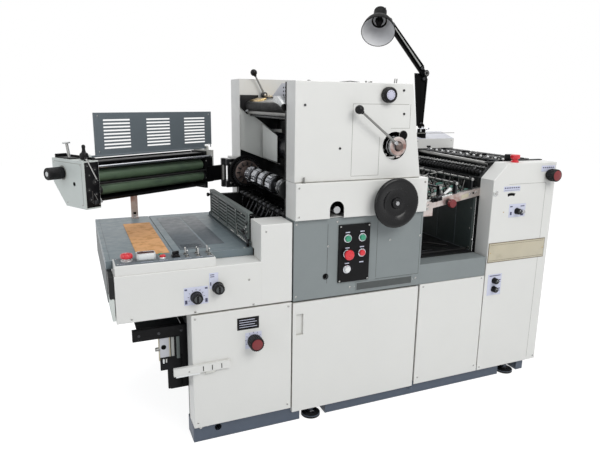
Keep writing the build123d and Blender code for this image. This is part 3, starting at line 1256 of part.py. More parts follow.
def rear_box():
    """White box with a sloped lid on the rear feeder cabinet."""
    x1 = feeder_x1 - BOX_RIGHT_INSET
    x0 = x1 - BOX_LENGTH
    y1 = back_y - BOX_BACK_INSET
    y0 = y1 - BOX_DEPTH
    outline = [(y0, FEEDER_TOP), (y1, FEEDER_TOP), (y1, FEEDER_TOP + BOX_HEIGHT),
               (y0, FEEDER_TOP + BOX_HEIGHT - BOX_FALL)]
    face = Plane.YZ.offset(x0) * make_face(Polyline(*outline, close=True))
    return extrude(face, amount=BOX_LENGTH)


def lamp_foot():
    x = feeder_x1 - BOX_RIGHT_INSET - BOX_LENGTH + LAMP_X_INSET
    y = back_y - BOX_BACK_INSET - LAMP_Y_INSET
    return x, y, FEEDER_TOP + BOX_HEIGHT - BOX_FALL * LAMP_Y_INSET / BOX_DEPTH


def lamp_base():
    """Round foot of the lamp on the box."""
    x, y, z = lamp_foot()
    top = z + LAMP_BASE_HEIGHT
    foot = rod_z(x, y, z - LAMP_BASE_R / 2, top, LAMP_BASE_R) - rear_box()
    return foot - rod_z(x, y, top - LAMP_SPIGOT, top + CUT_OVER, LAMP_STEM_R + PIN_FIT)


def lamp_lower_axis():
    x, y, z = lamp_foot()
    return x, y, z + LAMP_BASE_HEIGHT + LAMP_STEM_HEIGHT


def lamp_elbow():
    x, y, z = lamp_lower_axis()
    return x, y, z + LAMP_LOWER_LENGTH


def lamp_head_axis():
    x, y, z = lamp_elbow()
    dx, dz = polar(LAMP_UPPER_LENGTH, LAMP_UPPER_ANGLE)
    return x + dx, y, z + dz


def lamp_stem():
    """Swivelling yoke on the lamp's foot."""
    x, y, z = lamp_lower_axis()
    z0 = z - LAMP_STEM_HEIGHT + SEAT_GAP
    half = LAMP_JOINT_WIDTH / 2
    stem = rod_z(x, y, z0, z - LAMP_JOINT_R - RUNNING_GAP, LAMP_STEM_R + LAMP_JOINT_WIDTH)
    tongue = block(x - LAMP_JOINT_R / 2, x + LAMP_JOINT_R / 2, y - half, y + half, z - LAMP_JOINT_R * 2, z)
    spigot = rod_z(x, y, z0 - LAMP_SPIGOT, z0, LAMP_STEM_R)
    pin = rod_y(x, y, y + half + LAMP_JOINT_WIDTH, z, LAMP_ROD_R)
    return fuse([stem, tongue, rod_y(x, y - half, y + half, z, LAMP_JOINT_R), spigot, pin])


def lamp_arm(start, end, y, side, start_width, end_width):
    """Flat tapered arm with round eyes at both ends, beside the plane of its neighbours."""
    half = LAMP_JOINT_WIDTH / 2
    y_mid = y + side * (LAMP_JOINT_WIDTH + LAMP_JOINT_GAP)
    run = Vector(end[0] - start[0], end[1] - start[1], 0).normalized()
    across = Vector(-run.Y, run.X, 0)
    near, far = -LAMP_ROD_R * 2, LAMP_ROD_R * 2
    points = [(start[0] + across.X * near, start[1] + across.Y * near),
              (end[0] + across.X * near, end[1] + across.Y * near),
              (end[0] + across.X * (end_width - far), end[1] + across.Y * (end_width - far)),
              (start[0] + across.X * (start_width - far), start[1] + across.Y * (start_width - far))]
    pieces = [profile_xz(points, y_mid - half, y_mid + half)]
    for x, z in (start, end):
        pieces.append(rod_y(x, y_mid - half, y_mid + half, z, LAMP_JOINT_R))
    return fuse(pieces)


def lamp_lower_arm():
    """Lower arm, wide at the elbow."""
    x, y, z = lamp_lower_axis()
    elbow = lamp_elbow()
    arm = lamp_arm((x, z), (elbow[0], elbow[2]), y, 1, LAMP_HEAD_WIDTH, LAMP_ELBOW_WIDTH)
    for eye_x, eye_z in ((x, z), (elbow[0], elbow[2])):
        arm -= rod_y(eye_x, y, y + LAMP_JOINT_WIDTH * 2, eye_z, LAMP_ROD_R + PIN_FIT)
    return arm


def lamp_upper_arm():
    """Upper arm, from the elbow to the shade."""
    x, y, z = lamp_elbow()
    head = lamp_head_axis()
    arm = lamp_arm((x, z), (head[0], head[2]), y, 0, LAMP_ELBOW_WIDTH / 2, LAMP_HEAD_WIDTH)
    for eye_x, eye_z in ((x, z), (head[0], head[2])):
        arm += rod_y(eye_x, y, y + LAMP_JOINT_WIDTH / 2 + LAMP_JOINT_WIDTH, eye_z, LAMP_ROD_R)
    return arm


def lamp_shade():
    """Bell shade with its socket, hung beside the head of the upper arm."""
    x, y, z = lamp_head_axis()
    axis = Vector(LAMP_AIM_X, LAMP_AIM_Y, LAMP_AIM_Z).normalized()
    r, d, t = LAMP_SHADE_R, LAMP_SHADE_DEPTH, LAMP_SHADE_SHEET
    neck = LAMP_NECK_R
    mid_r, mid_d = neck + (r - neck) * LAMP_BELL_SHARE, d * LAMP_BELL_DEPTH_SHARE
    outer = ThreePointArc((neck, 0), (mid_r, mid_d), (r, d))
    lip = Line((r, d), (r - t, d))
    inner = ThreePointArc((r - t, d), (mid_r - t, mid_d + t / 2), (neck - t, t))
    back = -LAMP_NECK_LENGTH
    line = Polyline((0, back + t), (0, back), (neck, back), (neck, 0))
    close = Polyline((neck - t, t), (neck - t, back + t), (0, back + t))
    shade = revolve(Plane.XZ * make_face([line, outer, lip, inner, close]), Axis.Z)
    base = Vector(x + LAMP_HEAD_SHIFT_X, y + LAMP_HEAD_SHIFT_Y, z + LAMP_HEAD_SHIFT_Z)
    head = Plane(origin=base, z_dir=axis) * shade
    eye_y = y + LAMP_JOINT_WIDTH + LAMP_JOINT_GAP
    half = LAMP_JOINT_WIDTH / 2
    eye = rod_y(x, eye_y - half, eye_y + half, z, LAMP_JOINT_R)
    target = base - axis * LAMP_LINK_BACK
    link = bar_between((x, eye_y + LAMP_LINK_SHIFT, z), (target.X, target.Y, target.Z), LAMP_ROD_R)
    return fuse([head, eye, link]) - rod_y(x, y, eye_y + half + CUT_OVER, z, LAMP_ROD_R + PIN_FIT)


def pile_table(x0, x1, top):
    """Slotted pile board between the side plates."""
    y0, y1 = front_frame_y1 + PILE_SIDE_GAP, rear_frame_y0 - PILE_SIDE_GAP
    board = block(x0, x1, y0, y1, top - PILE_TABLE_THICKNESS, top)
    pitch = (y1 - y0) / (PILE_SLOT_COUNT + 1)
    for i in range(PILE_SLOT_COUNT):
        y = y0 + pitch * (i + 1)
        half = PILE_SLOT_WIDTH / 2
        board -= block(x0 + PILE_SLOT_WIDTH, x1 + CUT_OVER, y - half, y + half,
                       top - PILE_TABLE_THICKNESS - CUT_OVER, top + CUT_OVER)
    return board


def feed_pile_table():
    """Feed pile board, that rises on the feeder's chains, with two shoes before its rails."""
    x = feeder_x0 + FEEDER_WIDTH / 2
    half = PILE_RAIL_WIDTH / 2
    y0, y1 = front_frame_y1 + LIFT_SHOE_GAP, rear_frame_y0 - LIFT_SHOE_GAP
    z0 = PILE_TABLE_Z - PILE_TABLE_THICKNESS
    board = pile_table(feeder_x0, feeder_x1 - PILE_SIDE_GAP, PILE_TABLE_Z)
    for shoe_y0, shoe_y1 in ((y0, y0 + PILE_SIDE_GAP), (y1 - PILE_SIDE_GAP, y1)):
        board += block(x - half, x + half, shoe_y0, shoe_y1, z0, PILE_TABLE_Z)
    return board


def delivery_pile_lift():
    """Fork of the delivery pile: two black side plates, a beam on each and a cross plate."""
    x0, x1 = cabinet_x0 - LIFT_BEAM_LENGTH, cabinet_x0 + LIFT_REACH
    plate_x0 = x1 - LIFT_PLATE_WIDTH
    sides = []
    for y0, y1 in ((front_frame_y1 + LIFT_SIDE_GAP, front_frame_y1 + LIFT_SIDE_GAP + LIFT_BEAM_DEPTH),
                   (rear_frame_y0 - LIFT_SIDE_GAP - LIFT_BEAM_DEPTH, rear_frame_y0 - LIFT_SIDE_GAP)):
        beam = block(x0, x1, y0, y1, LIFT_BEAM_Z, LIFT_BEAM_Z + LIFT_BEAM_HEIGHT)
        plate = block(plate_x0, x1, y0, y1, LIFT_BEAM_Z - LIFT_PLATE_HEIGHT, LIFT_BEAM_Z)
        sides.append(beam + plate)
    y0, y1 = front_frame_y1 + LIFT_SHOE_GAP, rear_frame_y0 - LIFT_SHOE_GAP
    cross = block(x1 - LIFT_BEAM_DEPTH, x1, y0, y1, LIFT_BEAM_Z - LIFT_PLATE_HEIGHT, LIFT_BEAM_Z)
    return fuse(sides + [cross])


def pile_rails():
    """Guide rails of both piles, on the inner faces of the side plates."""
    rails = []
    feed_x = feeder_x0 + FEEDER_WIDTH / 2
    half = PILE_RAIL_WIDTH / 2
    for x0, x1, top in ((cabinet_x0 + inset, cabinet_x0 + inset + PILE_RAIL_WIDTH, LOWER_PANEL_TOP),
                        (feed_x - half, feed_x + half, FASCIA_TOP)):
        for y0, y1 in ((front_frame_y1, front_frame_y1 + PILE_RAIL_THICKNESS),
                       (rear_frame_y0 - PILE_RAIL_THICKNESS, rear_frame_y0)):
            rails.append(block(x0, x1, y0, y1, BASE_HEIGHT, top))
    return Compound(rails)


def guide_bar():
    """White notched bar across the lower left cabinet."""
    x0 = cabinet_x0 - GUIDE_BAR_OVERHANG
    bar = block(x0, x0 + GUIDE_BAR_LENGTH, front_y - GUIDE_BAR_THICKNESS, front_y,
                GUIDE_BAR_Z - GUIDE_BAR_HEIGHT / 2, GUIDE_BAR_Z + GUIDE_BAR_HEIGHT / 2)
    return bar


PARTS = (base_frame, front_side_frame, rear_side_frame, tie_bars, roller_train, ink_fountain, inner_panel,
         lower_left_cabinet, lower_right_panel, front_door, grey_fascia, middle_cover, upper_front_cover,
         upper_rear_cover, rear_lower_covers, delivery_front_cover, delivery_rear_cover, delivery_table,
         delivery_hood, table_insert, control_box, control_switches, button_panel, push_buttons, shaft_ends,
         handwheel, operating_lever, dial_knob, cabinet_knob, feeder_knob, delivery_knob_left,
         delivery_knob_right, grille_guard, numbering_shaft, fountain_lever, unit_bracket, ink_unit_frame,
         ink_unit_rollers, ink_unit_guard, ink_unit_knob, rest_post, feeder_front_cabinet,
         feeder_rear_cabinet, feeder_head, feeder_controls, register_board, feed_tapes, register_rail,
         pile_guide_plate, wheel_bars, rear_box, lamp_base, lamp_stem, lamp_lower_arm, lamp_upper_arm, lamp_shade,
         feed_pile_table, delivery_pile_lift, pile_rails, guide_bar)

os.makedirs("parts", exist_ok=True)
for make in PARTS:
    export_step(make(), f"parts/{make.__name__}.step")
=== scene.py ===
import math
import bmesh
import bpy
from mathutils import Matrix, Vector


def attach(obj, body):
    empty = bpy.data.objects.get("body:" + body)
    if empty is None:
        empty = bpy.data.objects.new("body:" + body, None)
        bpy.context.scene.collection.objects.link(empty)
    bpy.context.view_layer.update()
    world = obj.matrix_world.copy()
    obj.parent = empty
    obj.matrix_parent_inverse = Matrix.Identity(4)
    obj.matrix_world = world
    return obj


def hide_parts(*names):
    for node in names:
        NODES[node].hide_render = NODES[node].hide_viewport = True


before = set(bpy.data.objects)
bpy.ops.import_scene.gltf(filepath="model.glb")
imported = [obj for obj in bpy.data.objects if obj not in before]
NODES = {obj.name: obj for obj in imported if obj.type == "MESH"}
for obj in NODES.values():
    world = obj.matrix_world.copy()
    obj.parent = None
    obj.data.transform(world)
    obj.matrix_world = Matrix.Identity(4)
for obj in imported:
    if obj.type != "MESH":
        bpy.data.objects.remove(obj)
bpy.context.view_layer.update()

# Looks of a small sheet-fed offset press. Sizes of pieces are millimetres in the
# machine's frame: X towards the feeder, Y to the rear, Z up from the floor.
MM = 0.001
OUT, BACK, UP = (0, -1, 0), (0, 1, 0), (0, 0, 1)
scene = bpy.context.scene


# Materials
def lin(rgb):
    """Display colour 0 to 255 as linear RGBA."""
    out = []
    for v in rgb:
        v /= 255.0
        out.append(v / 12.92 if v <= 0.04045 else ((v + 0.055) / 1.055) ** 2.4)
    return out + [1.0]


def empty_tree(data):
    data.use_nodes = True
    data.node_tree.nodes.clear()
    return data.node_tree


def shader(tree, kind, values, **settings):
    """Adds a shader node. A socket among its values is linked, and anything else is set."""
    made = tree.nodes.new("ShaderNode" + kind)
    for name, value in settings.items():
        setattr(made, name, value)
    for name, value in values.items():
        if isinstance(value, bpy.types.NodeSocket):
            tree.links.new(value, made.inputs[name])
        else:
            made.inputs[name].default_value = value
    return made


def finish(rgb, rough, vary, bump, metal=0.0, scale=7.0, coat=0.0, spec=0.5, sheen=0.0, rough_vary=0.08,
           bevel=0.0012, stretch=(1, 1, 1), weave=None, crease_dirt_and_shade=0.0, crease_dirt_and_shade_rgb=(92, 84, 70), edge=None,
           patches=None, spots=None):
    """A procedural finish: colour drift, fine bump, dirt and painted shade in crevices, worn edges, patches,
    spots or a weave.
    """
    m = bpy.data.materials.new("finish")
    tree = empty_tree(m)
    place = shader(tree, "TexCoord", {}).outputs["Object"]
    stretched = shader(tree, "Mapping", {"Vector": place, "Scale": stretch}).outputs[0]

    def noise(where, size, detail=2.0, roughness=0.5):
        values = {"Vector": where, "Scale": size, "Detail": detail, "Roughness": roughness}
        return shader(tree, "TexNoise", values).outputs["Fac"]

    def ramped(src, p0, p1, v0=0.0, v1=1.0):
        return shader(tree, "MapRange", {0: src, 1: p0, 2: p1, 3: v0, 4: v1}).outputs[0]

    def sum_up(operation, a, b):
        return shader(tree, "Math", {0: a, 1: b}, operation=operation).outputs[0]

    def mix(share, under, over):
        return shader(tree, "Mix", {0: share, 6: under, 7: lin(over)}, data_type="RGBA").outputs[2]

    drift = shader(tree, "ValToRGB", {0: noise(stretched, scale, 7, 0.62)})
    for stop, position, share in zip(drift.color_ramp.elements, (0.3, 0.7), (1 - vary, 1 + vary)):
        stop.position = position
        stop.color = [min(1, v * share) for v in lin(rgb)[:3]] + [1]
    colour = drift.outputs[0]
    if patches:
        p_rgb, p_scale, p_low = patches
        colour = mix(ramped(noise(stretched, p_scale, 5), p_low, p_low + 0.14), colour, p_rgb)
    if spots:
        s_rgb, s_scale, s_size = spots
        cells = shader(tree, "TexVoronoi", {"Vector": place, "Scale": s_scale}).outputs["Distance"]
        colour = mix(ramped(cells, s_size, s_size * 0.6), colour, s_rgb)
    # Ambient occlusion darkens creases towards a dirt colour, broken up by a noise cloud: dirt and painted
    # shade in one.
    if crease_dirt_and_shade:
        ao = shader(tree, "AmbientOcclusion", {"Distance": 0.018}, samples=4).outputs["AO"]
        cloud = ramped(noise(place, 38, 6), 0.3, 0.62, 0.25, 1.0)
        colour = mix(sum_up("MULTIPLY", ramped(ao, 0.78, 0.25, 0.0, crease_dirt_and_shade), cloud), colour, crease_dirt_and_shade_rgb)
    relief = {"Strength": bump[1], "Distance": 0.0006}
    if bevel:
        relief["Normal"] = shader(tree, "Bevel", {"Radius": bevel}, samples=4).outputs[0]
    if edge:
        flat = shader(tree, "NewGeometry", {}).outputs["Normal"]
        same = shader(tree, "VectorMath", {0: relief["Normal"], 1: flat},
                      operation="DOT_PRODUCT").outputs["Value"]
        worn = sum_up("MULTIPLY", ramped(same, 0.985, 0.86), ramped(noise(place, 60), 0.48, 0.62))
        colour = mix(worn, colour, edge)
    relief["Height"] = noise(stretched, bump[0], 3)
    if weave:
        wave = shader(tree, "TexWave", {"Vector": place, "Scale": weave[0], "Distortion": 0.4},
                      bands_direction=weave[1])
        relief["Height"] = sum_up("ADD", relief["Height"], wave.outputs["Fac"])
    surface = {
        "Base Color": colour, "Metallic": metal, "Specular IOR Level": spec, "Coat Weight": coat,
        "Coat Roughness": 0.12, "Sheen Weight": sheen, "Normal": shader(tree, "Bump", relief).outputs[0],
        "Roughness": ramped(noise(stretched, scale * 9, 5), 0.3, 0.7, max(0.02, rough - rough_vary),
                            min(1, rough + rough_vary))}
    shader(tree, "OutputMaterial", {0: shader(tree, "BsdfPrincipled", surface).outputs[0]})
    return m


# Where crease_dirt_and_shade is set, creases get dirt and painted shade from ambient occlusion.
M = {
    "white": finish((221, 221, 218), 0.42, 0.018, (520, 0.05), scale=3.0, coat=0.12, crease_dirt_and_shade=0.5,
        crease_dirt_and_shade_rgb=(150, 142, 124), edge=(196, 194, 188)),
    "cream": finish((206, 206, 200), 0.42, 0.02, (520, 0.05), crease_dirt_and_shade=0.5, crease_dirt_and_shade_rgb=(140, 132, 116)),
    "unit_white": finish((203, 209, 205), 0.45, 0.03, (520, 0.05), crease_dirt_and_shade=0.55, crease_dirt_and_shade_rgb=(110, 104, 92),
        edge=(220, 220, 218)),
    "grey": finish((128, 135, 136), 0.48, 0.035, (1100, 0.12), scale=5, crease_dirt_and_shade=0.5, crease_dirt_and_shade_rgb=(62, 64, 62),
        edge=(160, 166, 166)),
    "slate": finish((76, 86, 101), 0.5, 0.06, (700, 0.16), crease_dirt_and_shade=0.6, crease_dirt_and_shade_rgb=(40, 40, 40),
        edge=(120, 126, 134)),
    "table": finish((112, 124, 129), 0.4, 0.05, (800, 0.06), scale=4, crease_dirt_and_shade=0.35, crease_dirt_and_shade_rgb=(60, 62, 60),
        edge=(165, 172, 176), patches=((107, 120, 128), 6.0, 0.55)),
    "table_dark": finish((84, 91, 97), 0.42, 0.06, (900, 0.08), scale=5, patches=((80, 90, 97), 8.0, 0.55)),
    "guard": finish((98, 107, 113), 0.46, 0.045, (800, 0.08), scale=5, crease_dirt_and_shade=0.3, crease_dirt_and_shade_rgb=(50, 52, 52),
        edge=(140, 148, 152)),
    "grille": finish((96, 104, 102), 0.5, 0.07, (800, 0.1), crease_dirt_and_shade=0.6, crease_dirt_and_shade_rgb=(40, 42, 40),
        edge=(160, 166, 164)),
    "lining": finish((166, 168, 165), 0.36, 0.05, (700, 0.04), scale=3, crease_dirt_and_shade=0.4, crease_dirt_and_shade_rgb=(90, 90, 84)),
    "frame": finish((62, 65, 66), 0.55, 0.12, (260, 0.3), crease_dirt_and_shade=0.6, crease_dirt_and_shade_rgb=(22, 22, 21),
        patches=((44, 46, 46), 16.0, 0.52)),
    "dark": finish((24, 25, 26), 0.48, 0.2, (300, 0.3), spec=0.25, crease_dirt_and_shade=0.4, crease_dirt_and_shade_rgb=(14, 14, 13),
        patches=((52, 52, 50), 22.0, 0.58)),
    "black": finish((13, 13, 15), 0.42, 0.15, (700, 0.08), spec=0.15),
    # A darker, less glossy copy of black for the lamp, which the lamps light more strongly than the other
    # black parts: painted shade.
    "lamp_black": finish((10, 10, 11), 0.5, 0.15, (700, 0.08), spec=0.05),
    "plastic": finish((12, 12, 14), 0.34, 0.12, (1400, 0.05), spec=0.2, patches=((27, 27, 30), 40.0, 0.56)),
    "wheel": finish((12, 12, 14), 0.24, 0.12, (700, 0.05), coat=0.06, spec=0.25, edge=(54, 54, 58)),
    "rubber": finish((17, 17, 18), 0.62, 0.12, (900, 0.12), spec=0.2),
    "red": finish((214, 38, 50), 0.3, 0.05, (1400, 0.03), coat=0.3),
    "dull_red": finish((122, 36, 40), 0.38, 0.08, (1400, 0.05)),
    "green": finish((44, 146, 112), 0.3, 0.05, (1400, 0.03), coat=0.3),
    "steel": finish((186, 186, 184), 0.3, 0.08, (900, 0.08), metal=1.0, scale=14,
        patches=((150, 148, 144), 20.0, 0.58)),
    "turned": finish((170, 171, 173), 0.24, 0.1, (420, 0.14), metal=1.0, scale=10, stretch=(1, 14, 1),
        patches=((110, 108, 106), 26.0, 0.6)),
    "oiled": finish((70, 71, 74), 0.36, 0.25, (500, 0.2), metal=1.0, scale=22,
        patches=((46, 44, 42), 30.0, 0.5)),
    "chrome": finish((196, 198, 204), 0.1, 0.03, (300, 0.02), metal=1.0, rough_vary=0.03),
    "brass": finish((208, 182, 132), 0.28, 0.12, (700, 0.1), metal=1.0, scale=24,
        patches=((150, 118, 62), 40.0, 0.56)),
    "flashed": finish((196, 186, 182), 0.34, 0.12, (700, 0.12), metal=1.0, scale=18,
        patches=((150, 120, 112), 18.0, 0.52)),
    "hub_brown": finish((104, 92, 88), 0.42, 0.3, (600, 0.15), metal=0.8, scale=26),
    "dull": finish((132, 132, 130), 0.38, 0.14, (700, 0.12), metal=1.0, scale=16),
    "lid": finish((196, 197, 204), 0.45, 0.03, (520, 0.05), crease_dirt_and_shade=0.3),
    "plate_grey": finish((62, 72, 71), 0.5, 0.12, (700, 0.1), scale=6, crease_dirt_and_shade=0.6),
    "hood": finish((76, 82, 84), 0.5, 0.05, (800, 0.08), crease_dirt_and_shade=0.4, crease_dirt_and_shade_rgb=(40, 42, 42),
        edge=(120, 126, 128)),
    "inner_sheet": finish((222, 224, 220), 0.4, 0.04, (700, 0.04), scale=3, crease_dirt_and_shade=0.4),
    "sage": finish((84, 104, 82), 0.38, 0.12, (900, 0.05), scale=9, coat=0.15, stretch=(1, 1, 3),
        patches=((66, 84, 68), 10.0, 0.5)),
    "ink_roller": finish((24, 25, 30), 0.3, 0.15, (500, 0.03), scale=8, spec=0.3,
        patches=((28, 30, 36), 12.0, 0.5)),
    "blanket": finish((22, 23, 25), 0.5, 0.12, (800, 0.05), spec=0.15, patches=((16, 17, 18), 9.0, 0.5)),
    "tape": finish((34, 112, 98), 0.7, 0.12, (1200, 0.2), sheen=0.3, weave=(420, 'X'),
        patches=((26, 92, 82), 20.0, 0.52)),
    "kraft": finish((214, 162, 112), 0.8, 0.09, (500, 0.18), scale=12, patches=((192, 141, 86), 34.0, 0.5),
        spots=((176, 126, 76), 900.0, 0.16)),
    "label": finish((203, 206, 224), 0.4, 0.03, (900, 0.02)),
    "ink": finish((62, 64, 92), 0.5, 0.05, (900, 0.02)),
    "beige": finish((190, 182, 160), 0.36, 0.05, (700, 0.04), scale=9, coat=0.2,
        patches=((178, 170, 148), 14.0, 0.55)),
    "plate_edge": finish((108, 96, 76), 0.4, 0.08, (900, 0.05)),
    "lilac": finish((196, 196, 214), 0.3, 0.04, (900, 0.02), coat=0.3),
    # Near-black for the insides of holes, slots, gaps and openings: painted shade in their depth.
    "hole": finish((8, 8, 9), 0.8, 0.2, (600, 0.1), spec=0.1, bevel=0),
    "seam": finish((150, 150, 144), 0.6, 0.08, (600, 0.1), bevel=0),
    "seam_dark": finish((70, 74, 74), 0.6, 0.08, (600, 0.1), bevel=0),
    "display": finish((70, 16, 20), 0.12, 0.1, (900, 0.02), coat=0.6),
    "silver": finish((196, 198, 198), 0.32, 0.05, (900, 0.06), metal=0.6),
    "shade_in": finish((226, 226, 228), 0.35, 0.04, (500, 0.06), coat=0.1),
    "ivory": finish((226, 228, 228), 0.34, 0.04, (900, 0.04)),
}
for key, m in M.items():
    m.name = key


def paint(node, *keys):
    me = NODES[node].data
    me.materials.clear()
    for key in keys:
        me.materials.append(M[key])


# Shapes
def basis(axis):
    """Two directions across an axis, and the axis."""
    z = Vector(axis).normalized()
    x = Vector(UP if abs(z.z) < 0.95 else BACK).cross(z).normalized()
    return x, z.cross(x), z


def ring(centre, x, y, r, n):
    turns = [2 * math.pi * i / n for i in range(n)]
    return [centre + (x * math.cos(a) + y * math.sin(a)) * r for a in turns]


class Piece:
    """One mesh made of many shapes, each with its own material, given in mm and built at the end."""

    every = []

    def __init__(self, name, slot, body="press", replaces="", within=None):
        self.name, self.slot, self.body, self.replaces, self.within = name, slot, body, replaces, within
        self.verts, self.faces, self.index, self.mats = [], [], [], []
        Piece.every.append(self)

    def add(self, verts, faces, key):
        if key not in self.mats:
            self.mats.append(key)
        base = len(self.verts)
        self.verts += [tuple(v) for v in verts]
        self.faces += [tuple(base + i for i in f) for f in faces]
        self.index += [self.mats.index(key)] * len(faces)

    def add_bmesh(self, bm, edges, r, key, place):
        if edges:
            bmesh.ops.bevel(bm, geom=edges, offset=r, segments=2, affect="EDGES", profile=0.5)
        self.add([place(v.co) for v in bm.verts], [[v.index for v in f.verts] for f in bm.faces], key)
        bm.free()

    def box(self, x, y, z, key, r=0.8, turn=None):
        """A box between two corners with rounded edges, turned about its middle."""
        low, high = (Vector(ends) for ends in zip(*(sorted(span) for span in (x, y, z))))
        size, mid = high - low, (low + high) / 2
        bm = bmesh.new()
        bmesh.ops.create_cube(bm, size=1)
        bmesh.ops.scale(bm, vec=size, verts=bm.verts)
        r = min(r, min(size) * 0.45)
        place = (lambda p: turn @ p + mid) if turn else (lambda p: p + mid)
        self.add_bmesh(bm, bm.edges[:] if r > 0.02 else (), r, key, place)

    def prism(self, pts, plane, a, b, key, r=0.0):
        """A flat outline given in two axes, pushed through the third from a to b."""
        place = {"xz": lambda u, v, w: (u, w, v), "yz": lambda u, v, w: (w, u, v)}[plane]
        bm = bmesh.new()
        low, high = ([bm.verts.new(place(u, v, w)) for u, v in pts] for w in (a, b))
        bm.faces.new(low)
        bm.faces.new(high[::-1])
        for i in range(len(pts)):
            j = (i + 1) % len(pts)
            bm.faces.new((low[i], high[i], high[j], low[j]))
        bmesh.ops.recalc_face_normals(bm, faces=bm.faces)
        sharp = [e for e in bm.edges if len(e.link_faces) == 2 and e.calc_face_angle(0) > 0.5]
        self.add_bmesh(bm, sharp if r else (), r, key, tuple)

    def lathe(self, origin, axis, profile, key, seg=40):
        """Turns (radius, height) points about an axis; radius 0 closes an end."""
        x, y, z = basis(axis)
        verts, faces, last = [], [], None
        for r, h in profile:
            centre = Vector(origin) + z * h
            points = ring(centre, x, y, r, seg) if r > 1e-6 else [centre]
            row = [len(verts) + i % len(points) for i in range(seg)]
            verts += points
            for i in range(seg if last else 0):
                j = (i + 1) % seg
                face = list(dict.fromkeys((last[i], row[i], row[j], last[j])))[::-1]
                if len(face) > 2:
                    faces.append(face)
            last = row
        self.add(verts, faces, key)

    def rod(self, p0, p1, r, key, seg=20, r1=None):
        """A round bar with chamfered ends, tapered where r1 is given."""
        run = Vector(p1) - Vector(p0)
        length = run.length
        r1 = r1 or r
        c = min(r, r1, length / 2) * 0.18
        self.lathe(p0, run, [(0, 0), (r - c, 0), (r, c), (r1, length - c), (r1 - c, length), (0, length)],
                   key, seg)

    def shaft(self, x, z, y0, y1, r, key, seg=20):
        """A round bar across the machine."""
        self.rod((x, y0, z), (x, y1, z), r, key, seg)

    def ball(self, c, r, key, seg=28):
        turns = [math.pi * i / 14 for i in range(1, 14)]
        half = [(r * math.sin(a), -r * math.cos(a)) for a in turns]
        self.lathe(c, UP, [(0, -r)] + half + [(0, r)], key, seg)

    def tube(self, pts, r, key, seg=8, closed=False):
        """A round wire along points."""
        pts = [Vector(p) for p in pts]
        n = len(pts)
        verts, faces, ref = [], [], None
        for i, p in enumerate(pts):
            ends = ((i + 1) % n, i - 1) if closed else (min(i + 1, n - 1), max(i - 1, 0))
            t = (pts[ends[0]] - pts[ends[1]]).normalized()
            ref = basis(t)[0] if ref is None else ref
            ref = (ref - t * ref.dot(t)).normalized()
            verts += ring(p, ref, t.cross(ref), r, seg)
        for i in range(n if closed else n - 1):
            j = (i + 1) % n
            for k in range(seg):
                side = (k + 1) % seg
                faces.append((i * seg + k, i * seg + side, j * seg + side, j * seg + k))
        if not closed:
            faces += [tuple(range(seg))[::-1], tuple(range((n - 1) * seg, n * seg))]
        self.add(verts, faces, key)

    def spring(self, p0, p1, radius, wire, turns, key="steel", seg=6):
        p0, run = Vector(p0), Vector(p1) - Vector(p0)
        x, y, z = basis(run)
        steps = int(turns * 12)
        pts = []
        for i in range(steps + 1):
            a = 2 * math.pi * turns * i / steps
            pts.append(p0 + z * run.length * i / steps + (x * math.cos(a) + y * math.sin(a)) * radius)
        self.tube(pts, wire, key, seg)

    def fluted(self, origin, axis, r, h0, h1, n, depth, key):
        """A grip with n round flutes."""
        x, y, z = basis(axis)
        steps = n * 4
        verts, faces = [], []
        for row, (h, share) in enumerate(((h0, 1.0), (h1 - 1.2, 1.0), (h1, 0.93))):
            for i, p in enumerate(ring(Vector(), x, y, 1, steps)):
                verts.append(Vector(origin) + z * h + p * (r - depth * (0, 0.5, 1, 0.5)[i % 4]) * share)
                j = row * steps + (i + 1) % steps
                if row:
                    faces.append(((row - 1) * steps + i, j - steps, j, row * steps + i))
        faces += [tuple(range(steps))[::-1], tuple(range(2 * steps, 3 * steps))]
        self.add(verts, faces, key)

    def gear(self, origin, axis, r, depth, n, width, key):
        """A spur gear from origin along the axis."""
        x, y, z = basis(axis)
        rim = []
        for i in range(n):
            for f, rr in ((0.0, r - depth), (0.22, r - depth), (0.36, r), (0.64, r), (0.78, r - depth)):
                a = 2 * math.pi * (i + f) / n
                rim.append(Vector(origin) + (x * math.cos(a) + y * math.sin(a)) * rr)
        k = len(rim)
        faces = [(i, (i + 1) % k, k + (i + 1) % k, k + i) for i in range(k)]
        faces += [tuple(range(k))[::-1], tuple(range(k, 2 * k))]
        self.add(rim + [p + z * width for p in rim], faces, key)

    def screw(self, p, normal, r=4.0, kind="pan", key="steel"):
        """A screw's head on a surface."""
        p, n = Vector(p), Vector(normal).normalized()
        if kind == "hex":
            self.lathe(p, n, [(r * 1.35, 0), (r * 1.35, r * 0.16), (r * 1.3, r * 0.2), (0, r * 0.2)], key, 24)
            self.lathe(p + n * r * 0.2, n, [(r, 0), (r, r * 0.62), (r * 0.86, r * 0.75), (0, r * 0.75)],
                       key, 6)
            return
        self.lathe(p, n, [(r * a, r * b) for a, b in HEADS[kind]], key, 18)
        x, y, _ = basis(n)
        for u, v in ((x, y), (y, x)) if kind == "pan" else ():
            a, b = u * r * 0.6, v * r * 0.09
            low = [p + n * r * 0.58 + q for q in (-a - b, a - b, a + b, b - a)]
            self.add(low + [q + n * r * 0.06 for q in low], CROSS_FACES, "hole")

    def screws(self, points, normal, r=4.0, kind="pan", key="steel"):
        for p in points:
            self.screw(p, normal, r, kind, key)

